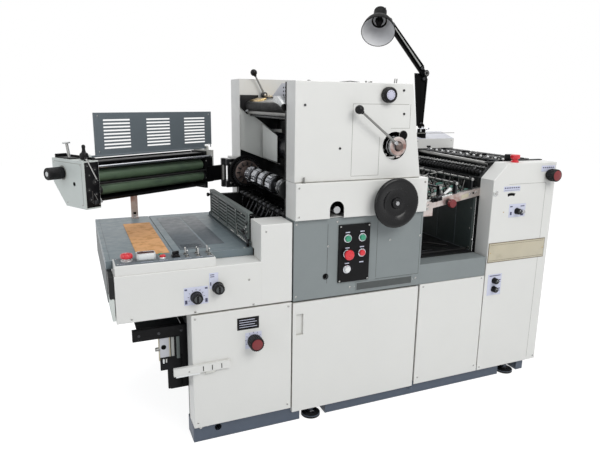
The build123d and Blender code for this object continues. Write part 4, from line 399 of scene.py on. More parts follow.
    def build(self):
        """Makes the mesh, and says its body and the solids that it stands for."""
        me = bpy.data.meshes.new(self.name)
        verts = [tuple(self.within @ Vector(v)) for v in self.verts] if self.within else self.verts
        me.from_pydata([(x * MM, y * MM, z * MM) for x, y, z in verts], [], self.faces)
        for key in self.mats:
            me.materials.append(M[key])
        me.polygons.foreach_set("material_index", self.index)
        bm = bmesh.new()
        bm.from_mesh(me)
        bmesh.ops.recalc_face_normals(bm, faces=bm.faces)
        for f in bm.faces:
            f.smooth = True
        for e in bm.edges:
            e.smooth = len(e.link_faces) == 2 and e.calc_face_angle(0) <= SHARP
        bm.to_mesh(me)
        bm.free()
        ob = bpy.data.objects.new(self.name, me)
        scene.collection.objects.link(ob)
        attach(ob, self.body)
        if self.replaces:
            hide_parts(self.replaces)


SHARP = 0.6
HEADS = {"pan": ((1, 0), (0.98, 0.25), (0.7, 0.52), (0.2, 0.6), (0, 0.6)),
         "socket": ((1, 0), (1, 0.7), (0.88, 0.82), (0.5, 0.82), (0.5, 0.25), (0, 0.25))}
CROSS_FACES = [(0, 1, 2, 3), (7, 6, 5, 4), (0, 4, 5, 1), (1, 5, 6, 2), (2, 6, 7, 3), (3, 7, 4, 0)]

# The solids that stay in sight, with their finishes
for key, names in {
    "slate": "base_frame", "guard": "ink_unit_guard",
    "dark": "front_side_frame rear_side_frame tie_bars feeder_head",
    "white": "lower_left_cabinet lower_right_panel front_door middle_cover upper_front_cover "
             "upper_rear_cover rear_lower_covers delivery_front_cover delivery_rear_cover rear_box "
             "feeder_front_cabinet feeder_rear_cabinet guide_bar control_box",
    "grey": "grey_fascia", "table": "delivery_table", "hood": "delivery_hood", "inner_sheet": "inner_panel",
    "kraft": "table_insert", "lining": "register_board", "grille": "grille_guard", "turned": "shaft_ends",
    "oiled": "unit_bracket pile_rails", "flashed": "rest_post register_rail", "steel": "wheel_bars",
    "black": "button_panel delivery_pile_lift", "plate_grey": "pile_guide_plate", "blanket": "roller_train",
    "lamp_black": "lamp_base lamp_stem lamp_lower_arm lamp_upper_arm lamp_shade", "tape": "feed_tapes",
    "table_dark": "feed_pile_table", "unit_white": "ink_unit_frame", "sage": "ink_unit_rollers",
    "ink_roller": "ink_fountain", "plastic": "feeder_controls control_switches push_buttons",
}.items():
    for name in names.split():
        paint(name, key)
for ob in NODES.values():
    if not ob.data.materials:
        ob.data.materials.append(M["black"])

# Camera, in metres and degrees, fitted to the straight edges of the photograph
EYE = (-1.125, -2.150, 1.230)
YAW, PITCH, ROLL = (math.radians(a) for a in (22.965, 12.905, 0.784))
look = Vector((math.sin(YAW) * math.cos(PITCH), math.cos(YAW) * math.cos(PITCH), -math.sin(PITCH)))
right = Vector((math.cos(YAW), -math.sin(YAW), 0))
up = right.cross(look)
right, up = (right * math.cos(ROLL) + up * math.sin(ROLL), up * math.cos(ROLL) - right * math.sin(ROLL))
lens = bpy.data.cameras.new("camera")
lens.sensor_width = 36
lens.lens = 32.54
lens.clip_start, lens.clip_end = 0.05, 60
camera = bpy.data.objects.new("camera", lens)
camera.matrix_world = Matrix.Translation(EYE) @ Matrix((right, up, -look)).transposed().to_4x4()
scene.collection.objects.link(camera)
scene.camera = camera
scene.view_settings.view_transform = "Standard"


# Light and floor
def white_where_seen(tree, shaded, white, output):
    """White on camera, glossy and transmission rays, and shaded on all others."""
    rays = shader(tree, "LightPath", {}).outputs
    seen = rays["Is Camera Ray"]
    for name in ("Is Glossy Ray", "Is Transmission Ray"):
        seen = shader(tree, "Math", {0: seen, 1: rays[name]}, operation="MAXIMUM").outputs[0]
    both = shader(tree, "MixShader", {0: seen, 1: shaded.outputs[0], 2: white.outputs[0]})
    shader(tree, output, {0: both.outputs[0]})


def lamp(name, at, to, size, power, colour=(1, 1, 1)):
    d = bpy.data.lights.new(name, "AREA")
    d.shape, d.size, d.size_y = "RECTANGLE", *size
    d.energy, d.color = power, colour
    ob = bpy.data.objects.new(name, d)
    ob.location = at
    ob.rotation_euler = (Vector(to) - Vector(at)).to_track_quat("-Z", "Y").to_euler()
    scene.collection.objects.link(ob)


WHITE = (1, 1, 1, 1)
scene.world = bpy.data.worlds.new("world")
tree = empty_tree(scene.world)
white_where_seen(tree, shader(tree, "Background", {0: (0.93, 0.96, 1.0, 1), 1: 0.42}),
                 shader(tree, "Background", {0: WHITE}), "OutputWorld")
lamp("key", (0.6, -3.4, 3.4), (0, 0, 0.7), (2.6, 2.0), 92, (1, 0.99, 0.97))
lamp("fill", (-3.6, -1.2, 2.0), (0, 0, 0.7), (2.0, 2.0), 20, (0.95, 0.97, 1))
lamp("top", (0.2, 0.6, 4.0), (0, 0, 0.6), (3.0, 3.0), 40)
lamp("back", (1.8, 3.2, 2.2), (0, 0, 0.7), (2.0, 2.0), 30)

FLOOR = 9
floor_mesh = bpy.data.meshes.new("floor")
floor_mesh.from_pydata([(x * FLOOR, y * FLOOR, -0.001) for x, y in ((-1, -1), (1, -1), (1, 1), (-1, 1))], [],
                       [(0, 1, 2, 3)])
floor = bpy.data.objects.new("floor", floor_mesh)
scene.collection.objects.link(floor)
floor_white = bpy.data.materials.new("floor_white")
tree = empty_tree(floor_white)
matt = shader(tree, "BsdfDiffuse", {0: (0.9, 0.9, 0.9, 1)})
bright = shader(tree, "Emission", {0: WHITE, 1: 1.36})
blend = shader(tree, "MixShader", {0: 0.65, 1: matt.outputs[0], 2: bright.outputs[0]})
white_where_seen(tree, matt, blend, "OutputMaterial")
floor_mesh.materials.append(floor_white)


# Front covers
FRONT = -400.0
P = Piece("cover_screws", "bright_steel")
for kind, key, places in (
        ("pan", "steel", ((-269, 704), (-233, 795), (-1, 706), (138, 712), (-171, 533), (129, 535),
                          (-396, 796), (-396, 522))),
        ("socket", "oiled", ((-371, 1216), (-232, 1065), (25, 1272), (31, 1187))),
        ("pan", "steel", ((-512, 780), (-576, 611), (-770, 517), (-560, 517), (-980, 521), (170, 492),
                          (470, 494), (170, 84), (470, 84), (-772, 90), (-426, 90), (-426, 490),
                          (-772, 490), (502, 70), (820, 70)))):
    P.screws([(x, FRONT, z) for x, z in places], OUT, 4.2, kind, key)
P.screws([(x, FRONT - 16, z) for x, z in ((-395, 930), (135, 930), (-395, 826))], OUT, 4.0)

P = Piece("cover_seams", "white_paint")
LIGHT_SEAMS = [(-183, 52, 1221, 1222.6), (-184.6, -183, 963, 1222.6), (-184.6, -70, 962, 963.4),
               (-70, -68.5, 962, 1104), (-22, 60, 1134, 1135.3), (58.7, 60, 1135.3, 1222.6),
               (575, 782, 896.2, 897.6), (781, 782.4, 70, 896)]
DARK_SEAMS = [(-272, -270.4, 560, 790), (-60, -58.6, 560, 795), (-60, 140, 553, 554.4),
              (138.6, 140, 553, 795)]
for key, seams in (("seam", LIGHT_SEAMS), ("seam_dark", DARK_SEAMS)):
    for x0, x1, z0, z1 in seams:
        P.box((x0, x1), (FRONT - 0.25, FRONT + 0.6), (z0, z1), key, r=0)

# Bare name strip with its rivets, and the black label
P = Piece("bare_strip", "grey_paint")
P.box((-147, 111), (FRONT - 1.4, FRONT), (514, 550), "grey", 0.5)
P.box((-143, 107), (FRONT - 1.9, FRONT - 1), (518, 546), "seam_dark", 0.3)
P.screws([(x, FRONT, 532) for x in (-151.5, 115.5)], OUT, 2.4)
P = Piece("cabinet_label", "black_plastic")
P.box((-622, -540), (FRONT - 1.0, FRONT), (424, 470), "plastic", 0.4)
for i in range(4):
    P.box((-614, -548 - 8 * (i % 2)), (FRONT - 1.3, FRONT - 0.8), (433 + i * 9, 435 + i * 9), "label", 0)


def tick(p, x, z, w, h, y, key, r, angle):
    """A small bar on a dial that points away from the dial's centre."""
    p.box((x - w, x + w), y, (z - h, z + h), key, r, Matrix.Rotation(math.pi / 2 - angle, 3, "Y"))


def scale_label(name, x, z, w, h, arc=None, lines=(), knob=None):
    """A pale label with plain ticks round a knob and a few plain bars."""
    p = Piece(name, "white_paint")
    p.box((x - w / 2, x + w / 2), (FRONT - 0.6, FRONT), (z - h / 2, z + h / 2), "label", 0.2)
    if arc:
        cx, cz, r = arc
        for i in range(9):
            a = math.radians(205 - i * 28.75)
            tick(p, cx + r * math.cos(a), cz + r * math.sin(a), 0.8, 2.6, (FRONT - 0.9, FRONT - 0.4),
                 "ink", 0, a)
    for bx, bz, bw, bh in lines:
        p.box((bx - bw / 2, bx + bw / 2), (FRONT - 0.9, FRONT - 0.4), (bz - bh / 2, bz + bh / 2), "ink", 0)


scale_label("delivery_label_left", -765, 576, 84, 64, (-765, 571, 27),
            [(-800, 556, 8, 14), (-730, 556, 8, 14), (-800, 600, 9, 6), (-730, 600, 9, 6)])
scale_label("delivery_label_right", -703, 622, 32, 58, None,
            [(-708, 644, 14, 3), (-708, 637, 14, 3), (-714, 612, 4, 12)])
scale_label("cabinet_knob_label", -561, 379, 62, 62, (-561, 379, 29.5))
scale_label("feeder_arc_label", 592, 878, 90, 22, None,
            [(556 + 12 * i, 882, 8, 5) for i in range(7)] + [(592, 872, 80, 1.2)])
scale_label("feeder_knob_label", 632, 782, 92, 58, None,
            [(598, 800, 14, 5), (598, 770, 10, 14), (660, 800, 22, 4), (660, 762, 16, 8)])
scale_label("feeder_top_label", 785, 958, 78, 26, None, [(757 + 11 * i, 962, 7, 5) for i in range(6)])
scale_label("feeder_low_label", 545, 456, 76, 96, None,
            [(573, 475, 10, 5), (573, 466, 10, 3), (573, 436, 10, 5), (573, 427, 10, 3), (545, 497, 60, 4)])
P = Piece("bare_plate", "white_paint")
P.box((494, 812), (FRONT - 1.6, FRONT), (558, 646), "plate_edge", 0.5)
P.box((497, 809), (FRONT - 2.2, FRONT - 1.2), (561, 643), "beige", 0.4)
P.box((503, 803), (FRONT - 2.4, FRONT - 2), (567, 568.4), "plate_edge", 0)
P.box((503, 803), (FRONT - 2.4, FRONT - 2), (635.6, 637), "plate_edge", 0)
P.screws([(x, FRONT - 2.2, 602) for x in (505, 801)], OUT, 2.6, key="brass")

# Arc slot, gauge screw and small screws of the feeder cabinet
P = Piece("feeder_arc_slot", "black_plastic")
arc = []
for r, turns in ((62, range(70, 111, 5)), (50, range(112, 67, -5))):
    arc += [(592 + r * math.cos(math.radians(a)), 798 + r * math.sin(math.radians(a))) for a in turns]
P.prism(arc, "xz", FRONT - 0.5, FRONT + 0.3, "hole")
P = Piece("feeder_gauge", "bright_steel")
P.lathe((505, FRONT, 862), OUT, [(13, 0), (13, 2), (11.5, 3), (0, 3)], "silver", 32)
P.screw((505, FRONT - 3, 862), OUT, 6, "hex")
P.shaft(659, 776, FRONT, FRONT - 14, 8, "turned", 24)
P.screw((557, FRONT, 778), OUT, 2.6, key="brass")


# Knobs
def faced_knob(node, x, z, r, length, face):
    """Fluted knob with a dull red cap, on its spindle."""
    p = Piece(node + "_grip", "black_plastic", node, node)
    y = FRONT - 1
    skirt = [(0, 0), (r * 0.8, 0), (r * 0.86, 2), (r * 0.86, length * 0.22), (r * 0.8, length * 0.26),
             (0, length * 0.26)]
    p.lathe((x, y, z), OUT, skirt, "plastic", 40)
    p.fluted((x, y, z), OUT, r, length * 0.24, length - 2, 22, r * 0.07, "plastic")
    p.lathe((x, y - length + 2, z), OUT, [(r * 0.92, 0), (r * 0.9, 1), (r * 0.84, 1.6), (r * 0.82, 1.6)],
            "plastic", 40)
    p.lathe((x, y - length + 2, z), OUT, [(face, 0.2), (face, 1.4), (face - 1, 1.9), (0, 2)], "dull_red", 40)
    p.shaft(x, z, FRONT - 3, FRONT + 12, 5, "turned")


faced_knob("cabinet_knob", -561, 379, 27, 46, 20)
faced_knob("feeder_knob", 794, 931, 27, 46, 22)


def pointer_knob(name, x, z, r, length, node=""):
    """A black knob with a raised bar and a white line. One that turns has a spindle and a gap."""
    p = Piece(name, "black_plastic", node or "press", node)
    y, line = (FRONT - 1, 0) if node else (FRONT, 0.3)
    body = [(0, 0), (r, 0), (r, 1.5), (r * 0.95, 3), (r * 0.86, 5), (r * 0.84, length - 3),
            (r * 0.76, length - 1), (r * 0.7, length - 1), (0, length - 2)]
    p.lathe((x, y, z), OUT, body, "plastic", 40)
    p.fluted((x, y, z), OUT, r * 0.92, 4, length - 3.5, 20, r * 0.06, "plastic")
    p.box((x - r * 0.18, x + r * 0.18), (y - length, y - length + 6), (z - r * 0.66, z + r * 0.66),
          "plastic", 1)
    p.box((x - 0.7, x + 0.7), (y - length - line, y - length + 1), (z + r * 0.1, z + r * 0.64),
          "ivory", 0)
    p.lathe((x, y - length + 1.2, z), OUT, [(r * 0.6, -0.6), (r * 0.58, 0.4), (0, 0.6)], "frame", 32)
    if node:
        p.shaft(x, z, FRONT - 3, FRONT + 12, 5, "turned")


pointer_knob("delivery_knob_left_grip", -765, 571, 21, 28, "delivery_knob_left")
pointer_knob("delivery_knob_right_grip", -689, 596, 21, 28, "delivery_knob_right")

DIAL_X, DIAL_Z = -43, 1255
P = Piece("dial_knob_grip", "black_plastic", "dial_knob", "dial_knob")
P.fluted((DIAL_X, FRONT - 1, DIAL_Z), OUT, 28.5, 0, 20, 30, 1.5, "plastic")
P.lathe((DIAL_X, FRONT - 1, DIAL_Z), OUT,
        [(26.8, 19), (25.8, 22.6), (23.6, 24), (19, 24), (18, 22.6), (18, 21)], "plastic", 48)
P.lathe((DIAL_X, FRONT - 22, DIAL_Z), OUT, [(18.4, -1), (18.2, 0.4), (16, 1.2), (0, 1.4)], "lilac", 48)
for i in range(10):
    a = 2 * math.pi * i / 10
    tick(P, DIAL_X + 13.6 * math.cos(a), DIAL_Z + 13.6 * math.sin(a), 0.5, 2.2,
         (FRONT - 23.7, FRONT - 22.9), "ink", 0, a)
P.shaft(DIAL_X, DIAL_Z, FRONT - 3, FRONT + 12, 5, "turned")

WHEEL_X, WHEEL_Z = -16, 862
P = Piece("handwheel_disc", "black_plastic", "handwheel", "handwheel")
P.lathe((WHEEL_X, -444, WHEEL_Z), OUT,
        [(0, 0), (26, 0), (30, 2.5), (66, 2.5), (72, 0.6), (84, 0.6), (90, 2.6), (94, 6.6), (94.9, 11),
         (93.6, 15.4), (90, 18.6), (85, 19.8), (79, 19), (58, 12), (53, 9.6), (50, 7.6), (27, 7.6),
         (23, 9), (21, 18), (19, 20), (9, 20), (8, 18.6), (0, 18.6)], "wheel", 72)
P.shaft(WHEEL_X, WHEEL_Z, -455, -299, 12, "turned", 32)
P.lathe((WHEEL_X, -462.6, WHEEL_Z), OUT, [(7.6, 0), (7.6, 1.1), (6.6, 1.5), (0, 1.5)], "turned", 24)
P = Piece("handwheel_seat", "black_steel")
P.lathe((WHEEL_X, -416, WHEEL_Z), OUT, [(13.2, 0), (24, 0), (24, 3), (22, 4.2), (13.2, 4.2)], "black", 40)

# Pressure lever: ball, tapered rod, steel body with a bronze face
LEVER_X, LEVER_Z = -2.0, 1070.0
P = Piece("lever_hub", "bright_steel", "operating_lever", "operating_lever")
P.lathe((LEVER_X, -371, LEVER_Z), OUT,
        [(14.1, 0), (34, 0), (36, 2), (36, 28), (35, 29), (35, 33), (36, 34), (36, 50), (34.5, 53)],
        "turned", 56)
P.lathe((LEVER_X, -424, LEVER_Z), OUT, [(34.6, 0), (33, 1.6), (25, 2), (24, 0.8), (19, 0.8)], "flashed", 56)
P.lathe((LEVER_X, -426, LEVER_Z), OUT, [(14.8, -2), (15, 0), (15, 9), (13, 12), (9, 15), (7, 16), (0, 16)],
        "hub_brown", 40)
P.lathe((LEVER_X, -441.5, LEVER_Z), OUT, [(6, 0), (5, 0.4), (0, 0.5)], "oiled", 32)
P.lathe((LEVER_X, -371, LEVER_Z), OUT, [(14.1, 0), (14.1, 29)], "oiled", 32)
start = Vector((LEVER_X, -434, LEVER_Z))
reach = Vector((math.cos(math.radians(142.8)), 0, math.sin(math.radians(142.8)))) * 219
end = start + reach
P.rod(start, end, 5.2, "dull", 24, r1=3.8)
P.rod(start + reach * 0.07, start + reach * 0.13, 7.6, "turned", 6)
P.ball(end, 16, "plastic")
P.rod(end - reach.normalized() * 19, end - reach.normalized() * 12, 6.5, "plastic", 20)

P = Piece("lever_opening", "black_plastic")
# The opening round the lever is lined in near-black: painted shade inside it.
P.lathe((LEVER_X, FRONT + 2.5, LEVER_Z), BACK, [(51.8, 0), (51.8, 40), (37.5, 40)], "hole", 48)
P.lathe((33, FRONT, 1108), OUT, [(18, 0), (18, 0.4), (0, 0.4)], "hole", 32)
P.lathe((33, FRONT - 0.2, 1108), OUT, [(19, 0), (18.4, 0.8), (17.4, 0.8), (17.4, 0)], "seam", 32)
for a in range(200, 341, 28):
    ra = math.radians(a)
    P.screw((LEVER_X + 44 * math.cos(ra), FRONT + 16, LEVER_Z + 44 * math.sin(ra)), OUT, 4.5, "socket")
P.box((LEVER_X - 30, LEVER_X + 6), (FRONT + 8, FRONT + 14), (LEVER_Z - 50, LEVER_Z - 40), "steel", 1.5)
P.box((LEVER_X + 12, LEVER_X + 34), (FRONT + 6, FRONT + 14), (LEVER_Z - 46, LEVER_Z - 38), "flashed", 1.5)

# Arch with the shaft's end
P = Piece("arch_inside", "bright_steel")
P.shaft(-244, 843.5, -415, -396, 13.4, "turned", 40)
P.lathe((-244, -415.4, 843.5), OUT, [(5, 0), (4.4, 0.2), (0, 0.1)], "hole", 20)
P.box((-230, -226), (-396, -340), (841, 846), "oiled")

# Push buttons on the fascia
P = Piece("fascia_buttons", "button_plastic", replaces="push_buttons")
PANEL_X, PANEL_Z, PANEL_Y = -161, 670, FRONT - 8


def bezel(x, z, r):
    P.lathe((x, PANEL_Y, z), OUT, [(r + 4.5, 0), (r + 4.5, 2.5), (r + 3, 4), (r + 0.6, 4), (r + 0.4, 1)],
            "chrome", 40)


for col, row, key in ((-1, 1, "green"), (1, 1, "green"), (1, 0, "red"), (-1, -1, "ivory")):
    x, z = PANEL_X + col * 31, PANEL_Z + row * 60
    bezel(x, z, 12)
    P.lathe((x, PANEL_Y, z), OUT, [(12, 0), (12, 7), (11, 9.5), (8, 10.6), (0, 11)], key, 36)
x, z = PANEL_X - 31, PANEL_Z
bezel(x, z, 13)
P.shaft(x, z, PANEL_Y, PANEL_Y - 14, 12, "dull_red", 30)
P.lathe((x, PANEL_Y - 12, z), OUT, [(10, 0), (18, 1.5), (20, 4.5), (20, 8), (18, 11.5), (12, 13.4), (0, 14)],
        "red", 40)
P = Piece("button_plate_detail", "black_plastic")
for cx in (-1, 1):
    for rz in (-1, 0, 1):
        x, z = PANEL_X + cx * 31, PANEL_Z + rz * 60
        P.box((x - 9, x + 9), (PANEL_Y - 0.3, PANEL_Y + 0.4), (z + 21, z + 25), "label", 0)
for x in (PANEL_X - 60, PANEL_X + 60):
    P.screws([(x, PANEL_Y, z) for z in (PANEL_Z - 106, PANEL_Z + 106)], OUT, 3.4)
P.lathe((-277, FRONT - 0.2, 588), OUT, [(11.4, 0), (11.4, 1.6), (9.2, 1.6), (9.2, 0)], "black", 28)
P.lathe((-277, FRONT + 3, 588), OUT, [(9.1, 0), (0, 0.1)], "hole", 28)

# Numbering shaft
SHAFT_X, SHAFT_Z = -383.0, 906.0
P = Piece("numbering_wheels", "bright_steel", "numbering_shaft", "numbering_shaft")
P.shaft(SHAFT_X, SHAFT_Z, -313.5, 277.5, 10, "turned", 28)
P.lathe((SHAFT_X, -297.5, SHAFT_Z), BACK, [(10, 0), (14, 0), (14, 535), (17, 536), (17, 559), (10, 559)],
        "turned", 32)
P.gear((SHAFT_X, 238, SHAFT_Z), BACK, 66, 5, 44, 12, "oiled")
P.lathe((SHAFT_X, 237, SHAFT_Z), OUT, [(54, -1), (54, 3), (50, 5), (30, 5), (28, 9), (17, 11), (14, 11)],
        "hub_brown",
        48)
for a in range(0, 360, 30):
    ra = math.radians(a)
    tick(P, SHAFT_X + 41 * math.cos(ra), SHAFT_Z + 41 * math.sin(ra), 3, 9, (228.5, 233), "oiled", 1, ra)
for mid in (-142, -51, 40, 131):
    start = mid - 22.5
    P.lathe((SHAFT_X, start - 7, SHAFT_Z), BACK, [(14, 0), (30, 0), (32, 2), (32, 6)], "oiled", 36)
    P.lathe((SHAFT_X, start, SHAFT_Z), BACK, [(33, 0), (33, 45)], "oiled", 36)
    for k in range(6):
        y = start + k * 8
        P.gear((SHAFT_X, y, SHAFT_Z), BACK, 38, 1.3, 10, 5, "chrome")
        P.lathe((SHAFT_X, y, SHAFT_Z), BACK, [(33, 0), (36.6, 0.05)], "turned", 36)
    P.lathe((SHAFT_X, start + 46, SHAFT_Z), BACK, [(32, 0), (32, 4), (30, 6), (14, 6)], "oiled", 36)
    P.screw((SHAFT_X, start + 54, SHAFT_Z + 13.5), UP, 3, "socket")
P.lathe((SHAFT_X, -268, SHAFT_Z), BACK, [(14, 0), (27, 0), (29, 2), (29, 14), (26, 18), (20, 22), (14, 22)],
        "turned",
        36)
P.lathe((SHAFT_X, -240, SHAFT_Z), BACK, [(14, 0), (33, 0), (33, 9), (31, 10), (14, 10)], "turned", 36)

# Dark mechanism behind and below the shaft
P = Piece("numbering_housing", "black_steel")
P.lathe((SHAFT_X, 262, SHAFT_Z), OUT, [(23, 0), (76, 0), (76, 2.6), (74, 3.6), (64, 3.6), (62, 2.4), (62, 1),
                             (23, 1)], "black", 64)
P.lathe((SHAFT_X, -297, SHAFT_Z), BACK, [(15, 0), (40, 0), (40, 10), (36, 14), (15, 14)], "dark", 40)
for a in range(20, 380, 60):
    ra = math.radians(a)
    P.screw((SHAFT_X + 69 * math.cos(ra), 260.6, SHAFT_Z + 69 * math.sin(ra)), OUT, 3, "pan", "oiled")
CHAIN_X, CHAIN_Z = -350.0, 768.0
P = Piece("gripper_chain_shaft", "bright_steel")
P.shaft(CHAIN_X, CHAIN_Z, -297, 262, 12, "oiled", 24)
for y in (-272, 236):
    P.gear((CHAIN_X, y, CHAIN_Z), BACK, 50, 8, 15, 6, "oiled")
    P.lathe((CHAIN_X, y - 8, CHAIN_Z), BACK, [(12, 0), (24, 0), (24, 22), (12, 22)], "dark", 28)
for y in range(-220, 220, 44):
    P.lathe((CHAIN_X, y, CHAIN_Z), BACK, [(12, 0), (20, 0), (21, 1), (21, 9), (20, 10), (12, 10)],
            "dull" if y % 88 else "oiled", 24)
    P.box((CHAIN_X - 9, CHAIN_X + 30), (y + 16, y + 24), (CHAIN_Z + 12, CHAIN_Z + 26), "oiled", 1.5)
    P.rod((CHAIN_X - 16, y + 20, CHAIN_Z + 19), (CHAIN_X + 6, y + 20, CHAIN_Z + 30), 3, "dull", 10)
P = Piece("delivery_cross_parts", "frame_steel")
P.box((-404, -396), (-297, 262), (716, 742), "dark", 2)
P.box((-330, -300), (-297, 262), (706, 716), "dark", 2)
P.shaft(-402, 812, -297, 262, 7, "oiled", 20)
P.shaft(-318, 838, -297, 262, 9, "oiled", 20)
for y in range(-260, 250, 52):
    P.box((-410, -394), (y, y + 12), (800, 826), "dark", 1.5)
    P.spring((-402, y + 14, 812), (-402, y + 40, 812), 9, 1.1, 7, "oiled")
    P.rod((-396, y + 6, 742), (-372, y + 6, 788), 4, "oiled", 10)
    P.screw((-404, y + 6, 729), (-1, 0, 0), 3.4, "hex")
for side, y in (("front", -269), ("rear", 239)):
    P = Piece("delivery_chain_" + side, "black_steel")
    links = [2 * math.pi * i / 30 for i in range(31)]
    links = [(CHAIN_X + 54 * math.cos(a), CHAIN_Z + 54 * math.sin(a)) for a in links]
    for i, ((x, z), (x2, z2)) in enumerate(zip(links, links[1:])):
        P.shaft(x, z, y - 5, y + 5, 3, "oiled", 10)
        plate = y + (4.4 if i % 2 else 3.2)
        P.rod((x, plate, z), (x2, plate, z2), 2.2, "oiled", 6)

# Rollers and cylinders
P = Piece("roller_set", "roller_rubber", replaces="roller_train")
for x, z, r, key in ((-211, 850, 80, "blanket"), (-45, 800, 80, "oiled"), (-237, 1030, 58, "ink_roller"),
                     (-117, 1120, 40, "rubber"), (-201, 1166, 28, "ink_roller")):
    P.lathe((x, -292, z), BACK, [(r * 0.4, 0), (r * 0.94, 0), (r, 3), (r, 545), (r * 0.94, 548),
                                 (r * 0.4, 548)], key, 64)
    P.shaft(x, z, -298, 298, r * 0.4, "oiled", 32)
    P.lathe((x, -293.5, z), BACK, [(r * 0.4, 0), (r * 0.62, 0), (r * 0.62, 1.4)], "turned", 40)

P = Piece("ink_fountain_roller", "fountain_steel", replaces="ink_fountain")
FOUNT_X, FOUNT_Z = -311.0, 1216.0
P.lathe((FOUNT_X, -296, FOUNT_Z), BACK,
        [(10, 0), (23, 0), (24, 2), (24, 10), (22, 12), (22, 16), (24, 18), (24, 548), (22, 551),
         (9.6, 551)], "ink_roller", 48)
P.shaft(FOUNT_X, FOUNT_Z, -298, 298, 9.6, "turned", 24)
P.lathe((FOUNT_X, -297.5, FOUNT_Z), BACK, [(9.6, 0), (26, 0), (26, 7), (23, 9)], "black", 40)
P.prism([(-286, 1216), (-166, 1276), (-169, 1282), (-286, 1222)], "xz", -298, 261.5, "oiled", 0.6)
P.prism([(-296, 1243), (-262, 1249), (-262, 1252), (-296, 1246)], "xz", 20, 258, "brass", 0.3)
P.prism([(-262, 1240), (-236, 1250), (-236, 1254), (-262, 1244)], "xz", -250, 258, "beige", 0.3)
for y in range(-270, 250, 34):
    P.rod((-232, y, 1250), (-206, y, 1272), 4, "brass", 14)
    P.lathe((-206, y, 1272), (26, 0, 22), [(4, 0), (9, 1), (9, 9), (7, 10), (0, 10)], "plastic", 18)
P = Piece("ink_fountain_ends", "black_steel")
P.lathe((-368, -296, 1204), BACK, [(0, 0), (15, 0), (17, 2), (17, 10), (14, 12), (14, 18), (17, 20),
                                   (17, 557)], "rubber", 44)
P.lathe((-376, -297, 1206), BACK, [(0, 0), (22, 0), (23, 2), (23, 16), (20, 18), (0, 18)], "plastic", 36)
P.prism([(-372, 1224), (-338, 1234), (-338, 1240), (-372, 1230)], "xz", 90, 215, "brass", 0.4)
P.prism([(-372, 1220), (-338, 1228), (-338, 1234), (-372, 1224)], "xz", -90, 258, "dull", 0.4)
P.prism([(-146, 1226), (-160, 1246), (-196, 1246), (-262, 1214), (-262, 1198), (-205, 1216)], "yz", -398,
        -372, "silver", 1.5)
P.prism([(-372, 1212), (-346, 1216), (-342, 1240), (-366, 1240)], "xz", -228, -190, "dull", 2)
for y in (-240, -262, -284):
    P.rod((-362, y, 1216), (-362, y, 1240), 5, "dull", 16)
    P.lathe((-362, y, 1236), UP, [(5, 0), (10, 1), (10, 9), (8, 11), (0, 11)], "plastic", 22)
P.shaft(-366, 1178, -297, 262, 9, "dull", 28)
P.shaft(-352, 1164, -297, 262, 6, "oiled", 20)
P.prism([(-404, 1252), (-404, 1198), (-374, 1168), (-320, 1168), (-320, 1252)], "xz", 254, 261.5, "black", 1)
P.prism([(-384, 1180), (-366, 1178), (-360, 1206)], "xz", 246, 252, "ivory", 0.6)
P.prism([(-46, 1246), (-150, 1294), (-296, 1294), (-296, 1240), (-60, 1240)], "yz", -362, -359, "lid", 0.4)
for i in range(7):
    for j in range(3):
        P.rod((-363.2, -286 + i * 19, 1250 + j * 14), (-361.8, -286 + i * 19, 1250 + j * 14), 3.4, "hole", 10)
P = Piece("cylinder_guard", "black_steel")
P.prism([(250, 1127), (232, 1120), (60, 1084), (54, 1080), (54, 970), (250, 974)], "yz", -303, -301.6,
        "inner_sheet", 0.3)
P.box((-303, -209), (246, 250), (974, 1100), "inner_sheet", 0.3)
P = Piece("fountain_end_cap", "black_plastic")
P.lathe((-409, -306, 1207), BACK, [(0, 0), (10, 0), (12, 2), (12, 7), (9, 8), (9, 10)], "plastic", 32)
# A black strip at the lining's edge stands in for the dark depth beyond it: painted shade.
P = Piece("lining_edge_shade", "black_steel")
P.box((-228, -209), (258, 264), (940, 1196), "black", 1)
P = Piece("fountain_ball_lever", "bright_steel", "fountain_lever", "fountain_lever")
PIVOT_X, PIVOT_Y, PIVOT_Z = -295.0, 240.0, 1254.0
tip = Vector((PIVOT_X - 50.7, PIVOT_Y, PIVOT_Z + 95.4))
P.lathe((PIVOT_X, 232, PIVOT_Z), BACK, [(5.1, 0), (10.5, 0), (12, 1.5), (12, 27), (11, 28), (5.1, 28)],
        "oiled", 28)
P.shaft(PIVOT_X, PIVOT_Z, 231, 274, 5, "turned", 20)
P.rod((PIVOT_X, PIVOT_Y, PIVOT_Z), tip, 4.4, "dull", 20, r1=3.6)
P.ball(tip, 15, "plastic")
P.rod(tip + Vector((8.5, 0, -16)), tip + Vector((5.5, 0, -10.4)), 6, "plastic", 18)

# Small heads seen above the tower's front cover
P = Piece("tower_top_parts", "black_steel")
P.box((-190, -90), (-318, -300), (1290, 1300), "dark", 1.5)
P.tube([(-196, -309, 1299), (-150, -309, 1303), (-112, -309, 1300)], 1.6, "oiled")
for x, h in ((-84, 1306), (-70, 1303), (-62, 1305)):
    P.rod((x, -309, 1290), (x, -309, h), 4, "dull", 14)
for x in (38, 47):
    P.rod((x, -309, 1286), (x + 4, -309, 1317), 2.2, "dull", 12)
P.lathe((-318, -309, 1290), UP, [(6, 0), (6, 12), (4, 14), (0, 14)], "dull", 20)
P.lathe((-373, -406, 944), UP, [(7, 0), (7, 2), (3, 3), (3, 22), (0, 24)], "dull", 20)

# Inking unit, drawn in its own frame
UNIT = Matrix.Translation((-462, 352, 0)) @ Matrix.Rotation(math.radians(-60), 4, "Z")


